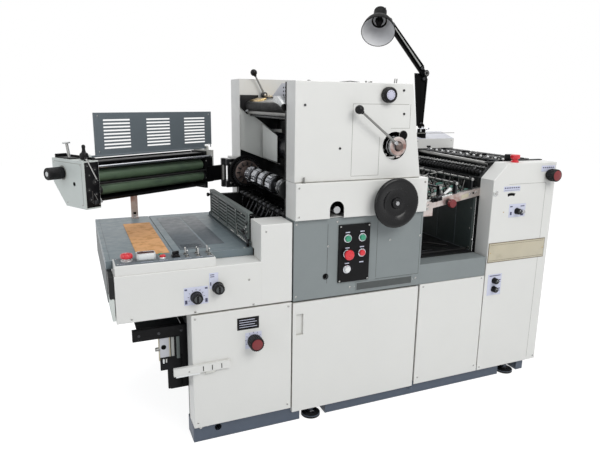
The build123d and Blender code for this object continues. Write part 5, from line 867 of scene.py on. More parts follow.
def split(node, rules):
    """Gives a solid several finishes by where its faces lie in the unit's frame."""
    paint(node, *(key for key, _ in rules))
    me = NODES[node].data
    inv = UNIT.inverted()
    for f in me.polygons:
        c = inv @ (f.center * 1000)
        for i, (_, test) in enumerate(rules):
            if test(c.x, -c.y, c.z):
                f.material_index = i
                break


split("ink_unit_frame", [("unit_white", lambda n, s, z: s > 687),
                         ("cream", lambda n, s, z: s < 112 and z > 979.5),
                         ("dull", lambda n, s, z: s < 40),
                         ("black", lambda n, s, z: s < 112),
                         ("chrome", lambda n, s, z: n > 10),
                         ("oiled", lambda n, s, z: True)])

P = Piece("unit_roller_set", "roller_rubber", "ink_unit", "ink_unit_rollers", within=UNIT)
for n, z, r, key in ((-14, 892, 24, "sage"), (-16, 942, 22, "sage"), (-60, 905, 25, "ink_roller")):
    P.lathe((n, -132, z), OUT, [(r * 0.4, 0), (r * 0.92, 0), (r, 2), (r, 532), (r * 0.92, 534),
                                (r * 0.4, 534)], key, 48)
    P.shaft(n, z, -110.4, -687.6, r * 0.4, "oiled", 24)
    for s in (128, 670):
        P.lathe((n, -s, z), OUT, [(r * 0.4, 0), (r * 0.72, 0), (r * 0.72, 3), (r * 0.4, 3)], "oiled", 32)

P = Piece("unit_dark_parts", "black_steel", "ink_unit", within=UNIT)
P.prism([(-84, 846), (-30, 840), (6, 862), (8, 930), (6, 1002), (-84, 1002)], "xz", -124, -112, "black", 2)
P.prism([(-84, 846), (-30, 840), (16, 862), (26, 930), (16, 1002), (-84, 1002)], "xz", -686, -674, "black", 2)
P.prism([(-80, 848), (10, 848), (16, 858), (-80, 858)], "xz", -672, -126, "black", 1)
P.prism([(-84, 858), (-81, 858), (-81, 1000), (-84, 1000)], "xz", -672, -126, "black", 0.6)
P.shaft(14, 917, -124, -674, 5, "rubber", 20)
P.shaft(4, 974, -124, -674, 7, "rubber", 20)
P.box((-60, -6), (-672, -126), (990, 996), "black", 1)
for s in (690, 700):
    P.shaft(-20, 872, -s, -s - 4, 12, "oiled", 24)
P.gear((-14, -668, 892), OUT, 26, 4, 20, 5, "oiled")
P.gear((-16, -668, 942), OUT, 24, 4, 18, 5, "oiled")
P.gear((-14, -124.5, 892), OUT, 26, 4, 20, 5, "oiled")
P.lathe((14, -664, 892), OUT, [(5, 0), (15, 0), (16, 1), (16, 9), (5, 9)], "dark", 28)
P.box((-34, -5), (-98, -60), (858, 1002), "black", 2)
P.box((-16, -4.4), (-66, -59), (866, 998), "inner_sheet", 0.6)
P.spring((24, -680, 868), (24, -680, 936), 5, 1.2, 9, "oiled")
P.rod((22, -676, 870), (34, -676, 852), 3, "turned", 12)
P.ball((34, -676, 852), 5, "turned")
for s, n in ((118, (6, 5)), (680, (20, 20))):
    places = ((n[0], 958), (-70, 968), (-66, 870), (n[1], 880))
    P.screws([(x, -s, z) for x, z in places], (1, 0, 0), 3.4, "hex")

P = Piece("unit_cover_parts", "white_paint", "ink_unit", within=UNIT)
P.lathe((-17, -750.2, 920), OUT, [(7.6, 0), (7.6, 0.5), (0, 0.6)], "hole", 24)
P.lathe((-92, -750, 956), OUT, [(23.8, 0), (27, 0), (27, 0.9), (24, 0.9)], "seam", 32)
# A black sheet over the cover's right flank shows the open side of the shell: its black mechanism together
# with the shade inside, painted on.
P.box((48, 48.9), (-745, -689), (837, 1003), "black", 0.3)
for s, z, k in ((734, 990, 7), (704, 976, 9), (728, 956, 6), (706, 930, 11), (732, 902, 8), (704, 884, 7),
                (726, 866, 9)):
    P.lathe((48.6, -s, z), (1, 0, 0), [(k, 0), (k, 0.7), (k - 1, 1), (0, 1)], "dark", 24)
    P.lathe((49.5, -s, z), (1, 0, 0), [(2.4, 0), (2.2, 0.4), (0, 0.5)], "dull", 6)
P.box((48.5, 49.8), (-714, -694), (846, 862), "oiled", 0.4)
P.spring((46.6, -720, 852), (46.6, -720, 896), 2.8, 0.6, 9, "dull")
P.rod((47, -712, 886), (47, -694, 848), 2.6, "dull", 12)
P.ball((45.6, -693, 846), 4.2, "steel")
P.box((-148, 36), (-750.5, -749.8), (996, 997.4), "seam", 0)
P.box((34.6, 36), (-750.5, -749.8), (846, 996), "seam", 0)
P.prism([(-50, 834), (49.6, 834), (49.6, 831.6), (-50, 831.6)], "xz", -748, -690, "unit_white", 0.3)
P.box((-152, -46), (-742, -696), (1008.5, 1012), "black", 1)
P.box((-152, -146), (-742, -696), (1008.5, 1022), "black", 1)
P.box((-148, -52), (-699, -695), (1008.5, 1019), "black", 1)
P.box((-40, 36), (-700, -690), (1008.5, 1016), "black", 1.5)
P.rod((-86, -722, 1008), (-98, -722, 1062), 4.6, "dull", 20)
P.rod((-84, -718, 1008), (-96, -718, 1060), 1.6, "chrome", 12)
P.lathe((-98, -722, 1061), (-0.15, 0, 1), [(4, 0), (14, 1.2), (15, 3), (15, 5), (13, 6.4), (0, 7)],
        "silver", 32)
P.lathe((4, -716, 1010), UP,
        [(12, 0), (15, 3), (16, 14), (14, 22), (8, 26), (6, 34), (6, 42), (7, 44), (6.4, 50), (4, 53),
         (0, 54)], "plastic", 32)
P.rod((46.2, -734, 1016), (46.2, -698, 938), 3.7, "steel", 18)
P.rod((38, -728, 1020), (43, -736, 1006), 6, "plastic", 18)
P.ball((43.6, -696, 934), 6.2, "steel")
P.rod((30, -728, 1012), (42, -730, 1014), 5, "oiled", 16)
P.screws([(n, -750, z) for n, z in ((-146, 992), (30, 992), (30, 846), (-70, 846))], OUT, 3)
P.spring((-1.5, -698, 1017), (-1.5, -716, 1017), 5.6, 1, 6, "steel")

P = Piece("unit_knob_grip", "black_plastic", "ink_unit_knob", "ink_unit_knob", within=UNIT)
P.lathe((-92, -751, 956), OUT, [(0, 0), (22, 0), (23, 1), (23, 12), (21.4, 13), (21.4, 14.6)], "plastic", 48)
P.fluted((-92, -751, 956), OUT, 23, 14, 60, 30, 0.9, "plastic")
P.lathe((-92, -811, 956), OUT, [(21.6, -1), (20.6, 1.2), (17, 1.8), (16, 0.2), (9, 0.2)], "plastic", 40)
P.lathe((-92, -811, 956), OUT, [(9.2, 0.1), (9, 0.8), (0, 0.9)], "silver", 28)
P.shaft(-92, 956, -752, -738, 5, "turned")

P = Piece("unit_guard_edges", "grey_paint", "ink_unit_guard", within=UNIT)
for y, z in (((-663, -75), (1173, 1177)), ((-77, -74), (1019, 1177)), ((-664, -661), (1019, 1177))):
    P.box((-6.5, -3), y, z, "guard", 0.6)
for s in (90, 648):
    P.screws([(0, -s, z) for z in (1032, 1164)], (1, 0, 0), 3)

P = Piece("hinge_parts", "frame_steel")
P.rod((-462, 352, 826), (-462, 352, 832), 11, "turned", 24)
for z in (850, 942):
    P.screw((-420, 298, z), OUT, 5, "hex")
    P.screw((-440, 298, z), OUT, 5, "hex")
for i in range(3):
    P.box((-438 + i * 12, -432 + i * 12), (295, 297.6), (838, 954), "dull" if i % 2 else "dark", 0.6)

# Delivery table, grille and rest post
P = Piece("table_panels", "grey_paint")
# The two dark sheets behind the grille, on the floor and at the rear, stand in for the shade seen through its
# slots: painted shade.
P.box((-531, -414), (-280, 300), (700.2, 701.2), "dark", 0.2)
P.box((-531, -414), (316, 319), (702, 800), "dark", 0.2)
P.box((-786, -688), (-250, 330), (699.8, 700.8), "table_dark", 0.4)
P.box((-680, -612), (-210, 330), (699.8, 700.8), "table_dark", 0.4)
for i in range(4):
    P.box((-776, -700 - 10 * (i % 2)), (-226 + i * 13, -222 + i * 13), (700.3, 701), "hole", 0)
P.box((-1030, -1028.6), (-296, 380), (700, 700.5), "table_dark", 0)
P.box((-552, -549), (-276, 311), (700, 702.4), "table_dark", 0.5)
P.screws([(x, y, 700) for x, y in ((-1020, -290), (-1020, 372), (-830, 372), (-560, 372), (-560, -296),
                                   (-800, -296))], UP, 3.4)
P = Piece("hood_end", "grey_paint")
P.box((-1044, -1028), (-396, -305.6), (598, 672), "dark", 2)
P.prism([(-1038, 520), (-1029, 520), (-1029, 596), (-1044, 596), (-1044, 560)], "xz", -396, -330,
        "unit_white", 1)
P.prism([(-1041, 560), (-1029, 560), (-1029, 598), (-1044, 598)], "xz", -330, -305.6, "dark", 1)
P = Piece("grille_trim", "bright_steel", "grille_guard")
for i in range(5):
    y = -262 + i * 138
    P.box((-542.2, -540), (y - 4, y + 4), (712, 820), "grille", 0.6)
P.box((-542, -540), (-274, 309), (814, 822), "grille", 0.8)
P.box((-542, -540), (-274, 309), (707, 712), "grille", 0.8)
P.spring((-540, -270, 711.5), (-540, -150, 711.5), 2.8, 0.8, 26, "steel")
P.tube([(-541, -150, 714), (-543, -140, 730), (-542, -132, 748), (-540, -130, 756)], 1.1, "dull")
P.spring((-540, -90, 711.5), (-540, -40, 711.5), 2.8, 0.8, 12, "steel")
P.screws([(-542.2, y, 722 if y % 4 else 808) for y in (-262, -200, -120, 150, 296)], (-1, 0, 0), 3.6)
for y, z, key in ((-272, 752, "dull"), (-258, 768, "steel"), (-270, 788, "oiled"), (-246, 758, "steel")):
    P.rod((-541, y, z), (-546, y, z), 4.4, key, 14)
    P.rod((-543, y, z), (-543, y + 8, z - 12), 1.6, key, 10)
P = Piece("grille_end_parts", "black_plastic", "grille_guard")
P.rod((-541.5, 306, 800), (-546, 306, 800), 5, "plastic", 16)
P.lathe((-545, 306, 800), (-1, 0, 0), [(5, 0), (8, 1), (9, 3), (9, 9), (7, 11), (0, 11)], "plastic", 20)
P = Piece("grille_front_lever", "black_plastic")
P.box((-552, -541), (-297, -291), (702, 730), "black", 1.5)
P.rod((-547, -298, 716), (-566, -298, 762), 4, "oiled", 14)
P.ball((-567, -298, 765), 7, "plastic")

P = Piece("post_parts", "bright_steel")
P.box((-888, -862), (369.5, 372), (840, 846), "flashed", 0.8)
P.box((-881, -869), (369.8, 372.3), (716, 726), "hole", 0)
P.rod((-875, 360, 704), (-875, 360, 711), 6, "turned", 6)
P.shaft(-875, 838, 364, 382, 5, "turned", 16)

# Control plate and its switches
PLATE_TOP = 708.0
paint("control_box", "white", "guard")
for f in NODES["control_box"].data.polygons:
    f.material_index = int(f.center.z > 0.7052 and -0.3915 < f.center.y < -0.3145)
P = Piece("switch_set", "button_plastic", replaces="control_switches")
P.lathe((-981, -353, PLATE_TOP), UP, [(19, 0), (19, 3), (17, 5), (14, 6), (13, 10)], "silver", 40)
P.lathe((-981, -353, PLATE_TOP), UP, [(13, 9), (19, 11), (20, 14), (20, 20), (18, 24), (12, 26), (0, 26)],
        "red", 40)
P.prism([(-951, PLATE_TOP), (-889, PLATE_TOP), (-889, 732), (-951, 732)], "xz", -370, -336, "silver", 1.4)
P.box((-947, -893), (-366, -340), (731.5, 734), "display", 0.8)
P.box((-945, -895), (-371.2, -369.6), (712, 729), "ivory", 0.8)
P.lathe((-866, -361, PLATE_TOP), UP, [(13, 0), (13, 3), (11, 5), (10.5, 6)], "silver", 32)
P.lathe((-866, -361, PLATE_TOP), UP, [(9.8, 5), (9.8, 11), (8.6, 12), (0, 12)], "red", 32)
P.lathe((-868, -338, PLATE_TOP), UP, [(9, 0), (9, 3), (8, 4)], "silver", 28)
P.lathe((-868, -338, PLATE_TOP), UP, [(7.6, 3), (7.6, 10), (6.6, 11), (0, 11)], "green", 28)
P.box((-834, -808), (-366, -340), (PLATE_TOP, 713), "plastic", 1)
P.lathe((-821, -353, 713), UP, [(11, 0), (11, 3), (9, 5), (0, 5)], "plastic", 28)
P.box((-833, -809), (-357, -349), (717, 727), "plastic", 1.6, Matrix.Rotation(0.5, 3, "Z"))
for i, x in enumerate((-785, -747, -709)):
    for j, y in enumerate((-368, -338)):
        P.lathe((x, y, PLATE_TOP), UP, [(8.5, 0), (8.5, 1), (6.5, 1.4), (6.5, 3)], "dull", 6)
        P.lathe((x, y, PLATE_TOP), UP, [(5.2, 2.6), (5.2, 7), (4.2, 8), (0, 8)], "dull", 20)
        lean = 3.4 if (i + j) % 2 else -3.4
        P.rod((x, y, PLATE_TOP + 7), (x, y + lean, PLATE_TOP + 21), 1.9, "steel", 14, r1=3.0)
        P.ball((x, y + lean * 1.08, PLATE_TOP + 22.4), 3.2, "steel", 16)
P = Piece("control_plate_marks", "pale_paint")
for x0, x1, y in ((-1004, -990, -384), (-940, -900, -384), (-880, -852, -384), (-832, -810, -384),
                  (-796, -774, -385), (-758, -736, -385), (-720, -700, -385)):
    P.box((x0, x1), (y - 1, y + 1), (707.9, 708.3), "label", 0)
for x in (-1012, -704):
    P.screws([(x, y, PLATE_TOP) for y in (-385, -321)], UP, 2.6)

# Register board, bars and wheels
SLOPE = math.tan(math.radians(9.5))


def board_z(x):
    """Height of the sloping board at x."""
    return 858 - (491 - x) * SLOPE


def strip(x0, x1, low, high):
    """Outline of a strip along the board, between two heights above it."""
    return [(x0, board_z(x0) + low), (x1, board_z(x1) + low), (x1, board_z(x1) + high),
            (x0, board_z(x0) + high)]


BARS = (201, 283, 365, 447)
BAR_RISE = 62
P = Piece("press_wheel_bars", "black_steel", replaces="wheel_bars")
for i, x in enumerate(BARS):
    z = board_z(x) + BAR_RISE
    P.shaft(x, z, -320, 320, 5, "dull" if i > 1 else "oiled", 24)
    for y0, y1 in ((-320, -298), (298, 320)):
        P.prism([(x - 4, board_z(x - 4) + 17.4), (x + 4, board_z(x + 4) + 17.4), (x + 4, z - 2),
                 (x + 4, z + 9),
                 (x - 4, z + 9), (x - 4, z - 2)], "xz", y0, y1, "oiled", 1.2)
        P.screw((x, y0 if y0 < 0 else y1, z), (0, -1 if y0 < 0 else 1, 0), 5, "hex")
    for k in range(12):
        y = -298 + 596 * (k + 0.5) / 12
        side = -1 if k % 2 == 0 else 1
        wx = x + side * 15
        wz = board_z(wx) + 1.5 + 11.3 / math.cos(math.radians(9.5))
        near = k < 5
        P.box((x - 6, x + 6), (y - 2, y + 2) if near else (y - 4, y + 4), (z - 6, z + 7), "oiled", 1.4)
        for dy in (0,) if near else (-4, 4):
            P.rod((x + side * 3, y + dy, z - 6), (wx, y + dy, wz), 1.6, "dull", 8)
        P.lathe((wx, y - 2.6, wz), BACK, [(4, 0), (9, 0), (11, 1.2), (11, 4), (9, 5.2), (4, 5.2)], "rubber",
                28)
        P.lathe((wx, y - 4, wz), BACK, [(0, 0), (5.4, 0), (6, 1), (6, 7), (5.4, 8), (0, 8)],
                "steel" if (i + k) % 3 else "dull", 22)

P = Piece("register_rods", "black_steel")
for k in range(3):
    y = -75 + 150 * k
    P.rod((165, y, board_z(165) + BAR_RISE), (478, y, board_z(478) + BAR_RISE), 2.6, "dull", 12)
    for j in range(5):
        x = 190 + j * 52 + (k % 2) * 22
        if min(abs(x - b) for b in BARS) < 14:
            continue
        P.lathe((x, y - 6, board_z(x) + BAR_RISE), BACK, [(2.6, 0), (7, 0.5), (7, 11.5), (2.6, 12)],
                "steel" if (j + k) % 3 == 0 else "oiled", 18)

P = Piece("register_head", "black_steel")
P.box((156, 180), (-297, 297), (880, 904), "dark", 2)
P.shaft(168, 924, -297, 297, 8, "oiled", 20)
P.shaft(236, 908, -297, 297, 6, "black", 20)
for y in range(-270, 280, 45):
    P.box((158, 182), (y, y + 16), (904, 926), "oiled", 2)
    P.lathe((184, y + 8, 912), (1, 0, 0), [(3, 0), (7, 0), (8, 2), (8, 8), (3, 9)],
            "steel" if y % 2 else "dull", 16)

P = Piece("register_side_parts", "bright_steel")
P.lathe((334, -322, 819), OUT, [(6, -2), (12, 0), (16, 2), (16, 8), (12, 10), (6, 10)], "plastic", 32)
P.fluted((334, -330, 819), OUT, 18, 0, 16, 14, 1.6, "dull_red")
P.lathe((334, -346, 819), OUT, [(12, -0.6), (11, 0.6), (0, 0.8)], "dull_red", 28)
P.box((236, 286), (-334, -321), (830, 850), "black", 3, Matrix.Rotation(-0.16, 3, "Y"))
P.rod((248, -340, 838), (276, -321, 848), 9, "black", 20)
P.rod((262, -334, 846), (296, -334, 862), 4, "oiled", 16)
P.rod((292, -334, 860), (324, -334, 882), 4.6, "ivory", 18, r1=6.6)
for x, z in ((212, 812), (224, 800), (210, 796), (226, 816), (438, 852), (470, 858)):
    P.screw((x, -320, z), OUT, 4.6, "hex" if x % 4 == 0 else "pan", "steel")
P.box((452, 460), (-320.6, -320), (850, 858), "hole", 0)
P.prism([(392, 830), (432, 838), (430, 856), (394, 848)], "xz", -320.8, -320, "beige", 0.2)
P = Piece("rail_caps", "bright_steel")
for y0, y1 in ((-320, -298), (298, 320)):
    P.prism(strip(152, 490, 17.1, 18.6), "xz", y0, y1, "steel", 0.3)

# Board bands between the tapes
P = Piece("board_bands", "grey_paint")
for i in range(6):
    y = -298 + 99.33 * (i + 0.5)
    for y0, y1, key in ((y - 46, y - 24, "lining"), (y + 22, y + 25, "dull_red"),
                        (y + 28, y + 31, "hole"), (y - 21, y - 19, "hole")):
        P.prism(strip(101, 490, 0.1, 1.1), "xz", y0, min(y1, 297), key)

# Chute, belts and gears seen below the board
P = Piece("drive_space_parts", "frame_steel")
P.prism([(101, 587.4), (478, 587.4), (478, 592), (101, 592)], "xz", -318, 318, "dark")
P.lathe((250, 60, 660), OUT, [(12, 0), (62, 0), (64, 3), (64, 22), (62, 25), (50, 25), (46, 16), (20, 16),
                              (18, 30), (12, 30)], "oiled", 48)
P.gear((340, 40, 644), OUT, 44, 5, 30, 14, "oiled")
P.shaft(250, 660, -90, 90, 12, "oiled", 24)
P.shaft(340, 644, -80, 80, 10, "oiled", 24)
for x, z in ((250, 660), (340, 644)):
    for y in (-86, 84):
        P.prism([(x - 26, 592), (x + 26, 592), (x + 16, z), (x + 10, z + 16), (x - 10, z + 16),
                 (x - 16, z)], "xz", y - 6, y + 6, "dark", 1)
P.tube([(188, 20, 660), (250, 20, 724), (340, 20, 690), (386, 20, 644), (340, 20, 600), (210, 20, 610)], 7,
       "rubber", closed=True)
P.box((180, 470), (-290, -270), (592, 602), "dark", 2)
P.prism([(210, 592), (330, 592), (320, 600), (216, 600)], "xz", -255, -238, "oiled", 1)
P.tube([(200, -200, 604), (260, -220, 620), (330, -180, 612), (410, -230, 604)], 5, "rubber")
P.prism([(104, 592), (140, 592), (180, 700), (150, 780), (104, 780)], "xz", 240, 290, "dark", 2)
for i in range(3):
    x = 300 + i * 52
    P.prism([(x, 592), (x + 30, 592), (x, 800), (x - 30, 800)], "xz", 286, 292, "guard", 1)
P = Piece("guide_plate_parts", "frame_steel")
for y in (-286, 286):
    P.screws([(480, y, z) for z in (604, 690, 780)], (-1, 0, 0), 4, "pan", "dull")
P.box((478.6, 480), (-296, 296), (588, 594), "guard", 0.3)
for y0, y1 in ((-297.6, -290), (290, 297.6)):
    P.box((484.2, 493.6), (y0, y1), (642, 846), "plate_grey", 0.4)
    P.box((484.2, 485.8), (y0 - (9 if y0 < 0 else 0), y1 + (9 if y0 > 0 else 0)), (588, 642), "plate_grey",
          0.4)
P.box((478, 493), (-297.6, 297.6), (846, 849), "plate_grey", 0.4)
for y in (-190, -60, 80, 210):
    P.box((479, 480.2), (y, y + 3), (600, 836), "guard", 0)

# Feeder head and its small parts
P = Piece("feeder_buttons", "button_plastic", replaces="feeder_controls")
P.lathe((631, -360, 985), UP, [(17, 0), (17, 4), (15, 6), (13, 7), (13, 15)], "red", 36)
P.lathe((631, -360, 985), UP, [(13, 14), (19, 16), (20, 19), (20, 30), (18, 32.4), (12, 33), (0, 33)],
        "red", 40)
for i, (x, z) in enumerate(((630, 779), (542, 475), (542, 436))):
    pointer_knob("feeder_small_knob_%d" % i, x, z, 14, 22)

P = Piece("feeder_head_bars", "black_steel", replaces="feeder_head")
for x in (621, 699, 777):
    P.box((x - 13, x + 13), (-298, 298), (951.2, 977.2), "black", 2)
    for y in range(-280, 290, 40):
        P.box((x - 16, x + 16), (y, y + 11), (977, 989), "dark", 1.6)
        P.screw((x, y + 5.5, 989), UP, 3.4, "socket")
P.rod((548, -297, 972), (590, 298, 978), 9, "dull", 28)
P.rod((600, -298, 984), (600, 298, 986), 4, "oiled", 20)
for y in range(-280, 290, 48):
    P.rod((640, y, 980), (640, y, 986), 4, "black", 12)
    P.ball((640, y, 989), 6.2, "ivory" if y % 96 else "steel", 18)
for x, y0, y1 in ((665, -260, -120), (742, -290, 40), (665, 20, 250), (742, 80, 290)):
    P.box((x - 26, x + 26), (y0, y1), (978, 990), "dark", 2)
    P.box((x - 20, x + 20), (y0 + 8, y1 - 8), (990, 993), "black", 1)
for y in (-200, -60, 90, 220):
    P.rod((604, y, 976), (604, y, 1004), 5, "turned", 18)
    P.lathe((604, y, 1000), UP, [(5, 0), (10, 1), (11, 3), (11, 9), (8, 11), (0, 11)], "plastic", 24)
    P.rod((540, y, 940), (700, y, 968), 4, "turned", 16)
P.box((646, 686), (-316, -280), (986, 1012), "dark", 2)
P.box((650, 682), (-317.2, -315), (991, 1007), "frame", 1)
P = Piece("feeder_hanging_plate", "black_steel")
P.box((608, 612), (-297.8, 297.8), (800, 951.4), "frame", 0.6)
for y in range(-260, 270, 65):
    P.rod((600, y, 846), (600, y, 951), 6, "dull", 18)
    P.lathe((600, y, 832), UP, [(4, 0), (13, 0), (9, 8), (6, 14), (6, 20)], "rubber", 24)
P.box((592, 608), (-290, 290), (900, 918), "oiled", 1.5)
P = Piece("feeder_top_plate", "black_steel")
P.box((700, 831), (-318, -300), (984, 988.6), "black", 1)
P.box((520, 640), (-319, -300), (979, 984), "dark", 1)
P.box((494, 512), (-297, 297), (900, 918), "dark", 2)
P.box((500, 546), (270, 297), (880, 970), "dark", 2)
P.shaft(512, 936, -298, 298, 9, "oiled", 24)
for y in range(-284, 290, 24):
    P.lathe((512, y, 936), BACK, [(9, 0), (14, 0.6), (14, 9.4), (9, 10)], "rubber" if y % 48 else "dull", 20)
    P.lathe((544, y, 954), BACK, [(0, 0), (8, 0.4), (8, 8), (0, 8.4)], "dull" if y % 48 else "steel", 16)
P.shaft(544, 954, -298, 298, 4, "turned", 16)

# White box behind the feeder and its dark sill
paint("rear_box", "white", "lid")
for f in NODES["rear_box"].data.polygons:
    f.material_index = int(f.normal.z > 0.5)
P = Piece("rear_box_parts", "white_paint")
P.box((553.4, 802.6), (271.8, 273.2), (1070.4, 1073.4), "seam", 0)
P.box((556, 800), (271.4, 273), (986, 992), "dark", 0.4)
P.screw((570, 272, 1030), OUT, 3)
P.screw((786, 272, 1030), OUT, 3)

# Lamp
def channel_arm(name, body, a, b, y, w0, w1, web, web_share, web_y, inset):
    """Two square bars with a web between them, pivot bosses and a spring."""
    p = Piece(name, "black_steel", body)
    a, b = Vector(a), Vector(b)
    d = (b - a).normalized()
    across = Vector((-d.z, 0, d.x))

    def outline(corners):
        return [(v.x, v.z) for v in corners]

    for s in (-1, 1):
        q0, q1, e = a + across * s * w0 / 2, b + across * s * w1 / 2, across * 4.2
        p.prism(outline((q0 - e, q0 + e, q1 + e, q1 - e)), "xz", y - 6, y + 6, "lamp_black", 1.2)
    t0, t1, f0, f1 = a + d * inset, b - d * inset, across * w0 * web_share, across * w1 * web_share
    p.prism(outline((t0 - f0, t0 + f0, t1 + f1, t1 - f1)), "xz", y + web_y[0], y + web_y[1], web, 0.2)
    for c, w in ((a, w0), (b, w1)):
        r0, r1 = max(12, w / 2), max(13, w / 2 + 1)
        p.lathe((c.x, y - 6, c.z), BACK, [(0, 0), (r0, 0), (r1, 1), (r1, 11), (r0, 12), (0, 12)],
                "lamp_black", 36)
        p.lathe((c.x, y - 6, c.z), OUT, [(9, 0), (9, 2), (7, 3.4), (0, 3.4)], "oiled", 24)
    ends = [a + (b - a) * share + Vector((0, y - a.y, 0)) for share in (0.12, 0.48)]
    p.spring(*ends, 4.2, 0.9, 34, "oiled")
    return p


P = channel_arm("lamp_lower_bars", "lamp_lower_arm", (613, 318, 1118), (613, 318, 1352), 318.4, 18, 40,
                "lamp_black", 0.5, (1, 3), 0)
P.lathe((613, 299.8, 1377.9), OUT, [(0, 0), (15, 0), (17, 1.5), (17, 8), (15, 10), (10, 10.6), (0, 10.6)],
        "plastic", 36)
P.lathe((613, 289.4, 1377.9), OUT, [(11, 0), (10.4, 0.6), (8.6, 0.6), (8, 0)], "dull", 36)
channel_arm("lamp_upper_bars", "lamp_upper_arm", (590, 306, 1402), (400, 306, 1604), 306, 26, 16,
            "lining", 0.16, (-6.6, -5.8), 14)

P = Piece("lamp_shade_bell", "black_steel", "lamp_shade")
base = Vector((310.3, 281, 1616.6))
ax = Vector((-0.423, -0.639, -0.643)).normalized()
outer = [(32, 0), (38, 6), (46, 18), (52, 32), (60, 48), (68, 66), (75, 82), (80, 95)]
P.lathe(base, ax, outer, "lamp_black", 64)
P.lathe(base, ax, [(78.2, 93.4), (80.6, 93.2), (81.4, 95), (80.8, 96.8), (79, 97), (78, 95.6)],
        "lamp_black", 64)
P.lathe(base, ax, [(r - 1.7, h + 0.6) for r, h in outer][::-1] + [(14, 1)], "shade_in", 64)
P.lathe(base, -ax, [(32, 0), (33.5, 3), (32, 8), (30, 10), (30, 30), (31, 32), (31, 60), (29, 68), (24, 72),
                    (12, 73), (0, 73)], "lamp_black", 48)
P.lathe(base, ax, [(20, -10), (20, 6), (17, 14), (13, 18)], "rubber", 32)
P.lathe(base, ax, [(0, 34), (8, 33), (14, 28), (16, 20), (14, 10)], "rubber", 36)
for i in range(3):
    P.lathe(base - ax * (36 + i * 8), -ax, [(31.2, 0), (32, 1), (32, 3), (31.2, 4)], "lamp_black", 40)
P = Piece("lamp_shade_link", "black_steel", "lamp_shade")
P.tube([(366, 306, 1626), (352, 304, 1650), (348, 300, 1664), (352, 296, 1680)], 2.6, "oiled")

P = Piece("lamp_clamp", "bright_steel", "lamp_stem")
P.lathe((613, 306, 1074), UP, [(14, 0), (17, 2), (17, 18), (14, 22), (10, 24), (10, 30)], "chrome", 32)
P.rod((630, 306, 1086), (650, 300, 1094), 4, "chrome", 16)
P.ball((652, 299, 1095), 6, "chrome", 18)
P.box((596, 602), (288, 324), (1076, 1091), "silver", 1.5)

# Base, pile lift and lower left details
P = Piece("base_parts", "slate_paint")
# The lifting hole is lined in near-black: painted shade inside it.
P.lathe((-694, -379, 43), BACK, [(13, 0), (13, 60)], "hole", 32)
P.lathe((-694, -379.4, 43), BACK, [(13, 0), (15, 0), (15.6, 0.6), (13, 0.9)], "slate", 32)
for x in (-310, 690):
    for y in (-361, 361):
        P.lathe((x, y, 10), UP, [(11, 0), (18, 0), (18, 9), (16, 11), (11, 11)], "oiled", 6)
        P.lathe((x, y, 10), UP, [(11.1, 11), (11.1, 39)], "oiled", 20)
        P.lathe((x, y, 0.2), UP, [(38.2, 0), (38.2, 8), (34, 11), (20, 12)], "dark", 36)
P.screw((-760, -385, 60), OUT, 4, "hex")
P.box((-762, -748), (-384, -380), (58, 68), "silver", 1)
P.box((-738, -730), (-384, -380), (58, 68), "silver", 1)

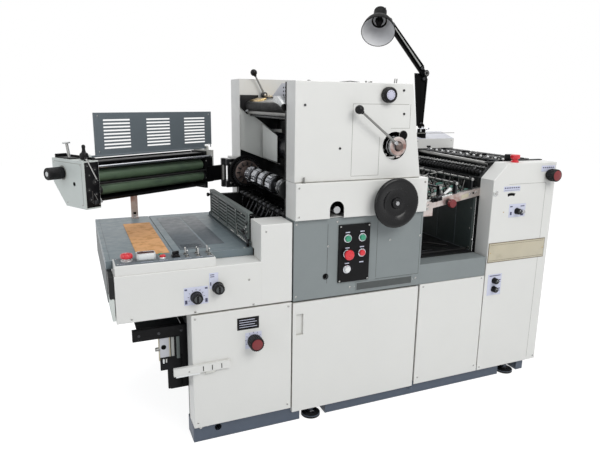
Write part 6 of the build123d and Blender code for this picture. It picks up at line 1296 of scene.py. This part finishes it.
P = Piece("guide_bar_parts", "white_paint")
for x in (-750, -718, -684):
    P.box((x - 1.4, x + 1.4), (-412.6, -411.6), (297, 315), "hole", 0)
P.box((-846, -762), (-412.8, -412), (288, 294), "ivory", 0.3)
P.box((-742, -706), (-411, -400), (284, 292.5), "cream", 1)
P.screw((-800, -412, 304), OUT, 3.2)
P = Piece("lift_parts", "black_steel", "delivery_pile_lift")
for side in (-1, 1):
    y = side * 284
    P.box((-880, -846), (y - 3, y + 3), (312, 386), "lid", 1)
    P.box((-839, -828), (y - 4, y + 5.4), (312, 386), "lining", 1)
    P.box((-820, -808), (y - 4, y + 5.4), (300, 386), "grille", 1)
    P.box((-884, -880), (y - 4, y + 4), (300, 386), "beige", 0.8)
    P.box((-846, -842), (y - 4, y + 4), (312, 386), "beige", 0.8)
    P.lathe((-866, y + side * 3, 352), (0, side, 0), [(9, 0), (9, 1), (0, 1.2)], "hole", 24)
    P.rod((-896, y, 346), (-880, y, 346), 7, "dull", 20)
    P.box((-880, -800), (y - 3, y + 4), (260, 313), "black", 2)
    P.box((-855, -800), (y - 3, y + 5), (182, 262), "black", 5)
    P.rod((-868, y + side * 5, 306), (-868, y + side * 5, 290), 3.4, "ivory", 14)
    P.rod((-858, y + side * 5, 306), (-858, y + side * 5, 292), 3.4, "steel", 14)
    P.screws([(x, y, 407) for x in (-950, -880, -800)], (0, side, 0), 4, "hex", "oiled")
P.box((-955, -800), (-262, 262), (420, 427.6), "dark", 2)
P = Piece("delivery_under_parts", "frame_steel")
P.box((-904, -890), (-312, -300), (474, 510), "ivory", 1)
P.shaft(-806, 532, -300, 300, 10, "oiled", 20)
for y in (-286, 280):
    P.gear((-806, y, 532), BACK, 26, 5, 14, 6, "oiled")
P.box((-1000, -800), (-318, -300), (512, 530), "dark", 1)

# Rear side: louvres and screws, and bars on the feed pile table
P = Piece("rear_cover_screws", "bright_steel")
for x, z in ((-772, 90), (-426, 90), (-426, 490), (-772, 490), (-394, 90), (136, 90), (-394, 940),
             (136, 940), (-394, 520), (136, 520), (168, 90), (474, 90), (168, 570), (474, 570),
             (504, 90), (820, 90), (820, 960), (504, 890), (-1010, 524), (-1010, 656), (-430, 656),
             (-430, 524), (-390, 990), (90, 990), (-390, 1300), (50, 1300), (-720, 524)):
    P.screw((x, 397.7, z), BACK, 4.2)
P = Piece("rear_louvres", "white_paint")
for x0, x1, z0, rows in ((-330, 70, 180, 9), (540, 780, 180, 8), (-720, -480, 180, 8)):
    for i in range(rows):
        z = z0 + i * 22
        P.prism([(399.6, z), (399.9, z + 11), (399.4, z + 11)], "yz", x0, x1, "white")
        P.box((x0, x1), (399.7, 400), (z - 1, z + 1.6), "hole", 0)
        P.box((x0, x1), (399.2, 400), (z + 1.6, z + 12), "cream", 0.3)
P = Piece("pile_table_details", "black_steel", "feed_pile_table")
for y in (-200, -100, 0, 100, 200):
    P.box((500, 812), (y - 3, y + 3), (329.6, 330.6), "oiled", 0.2)

for piece in Piece.every:
    piece.build()
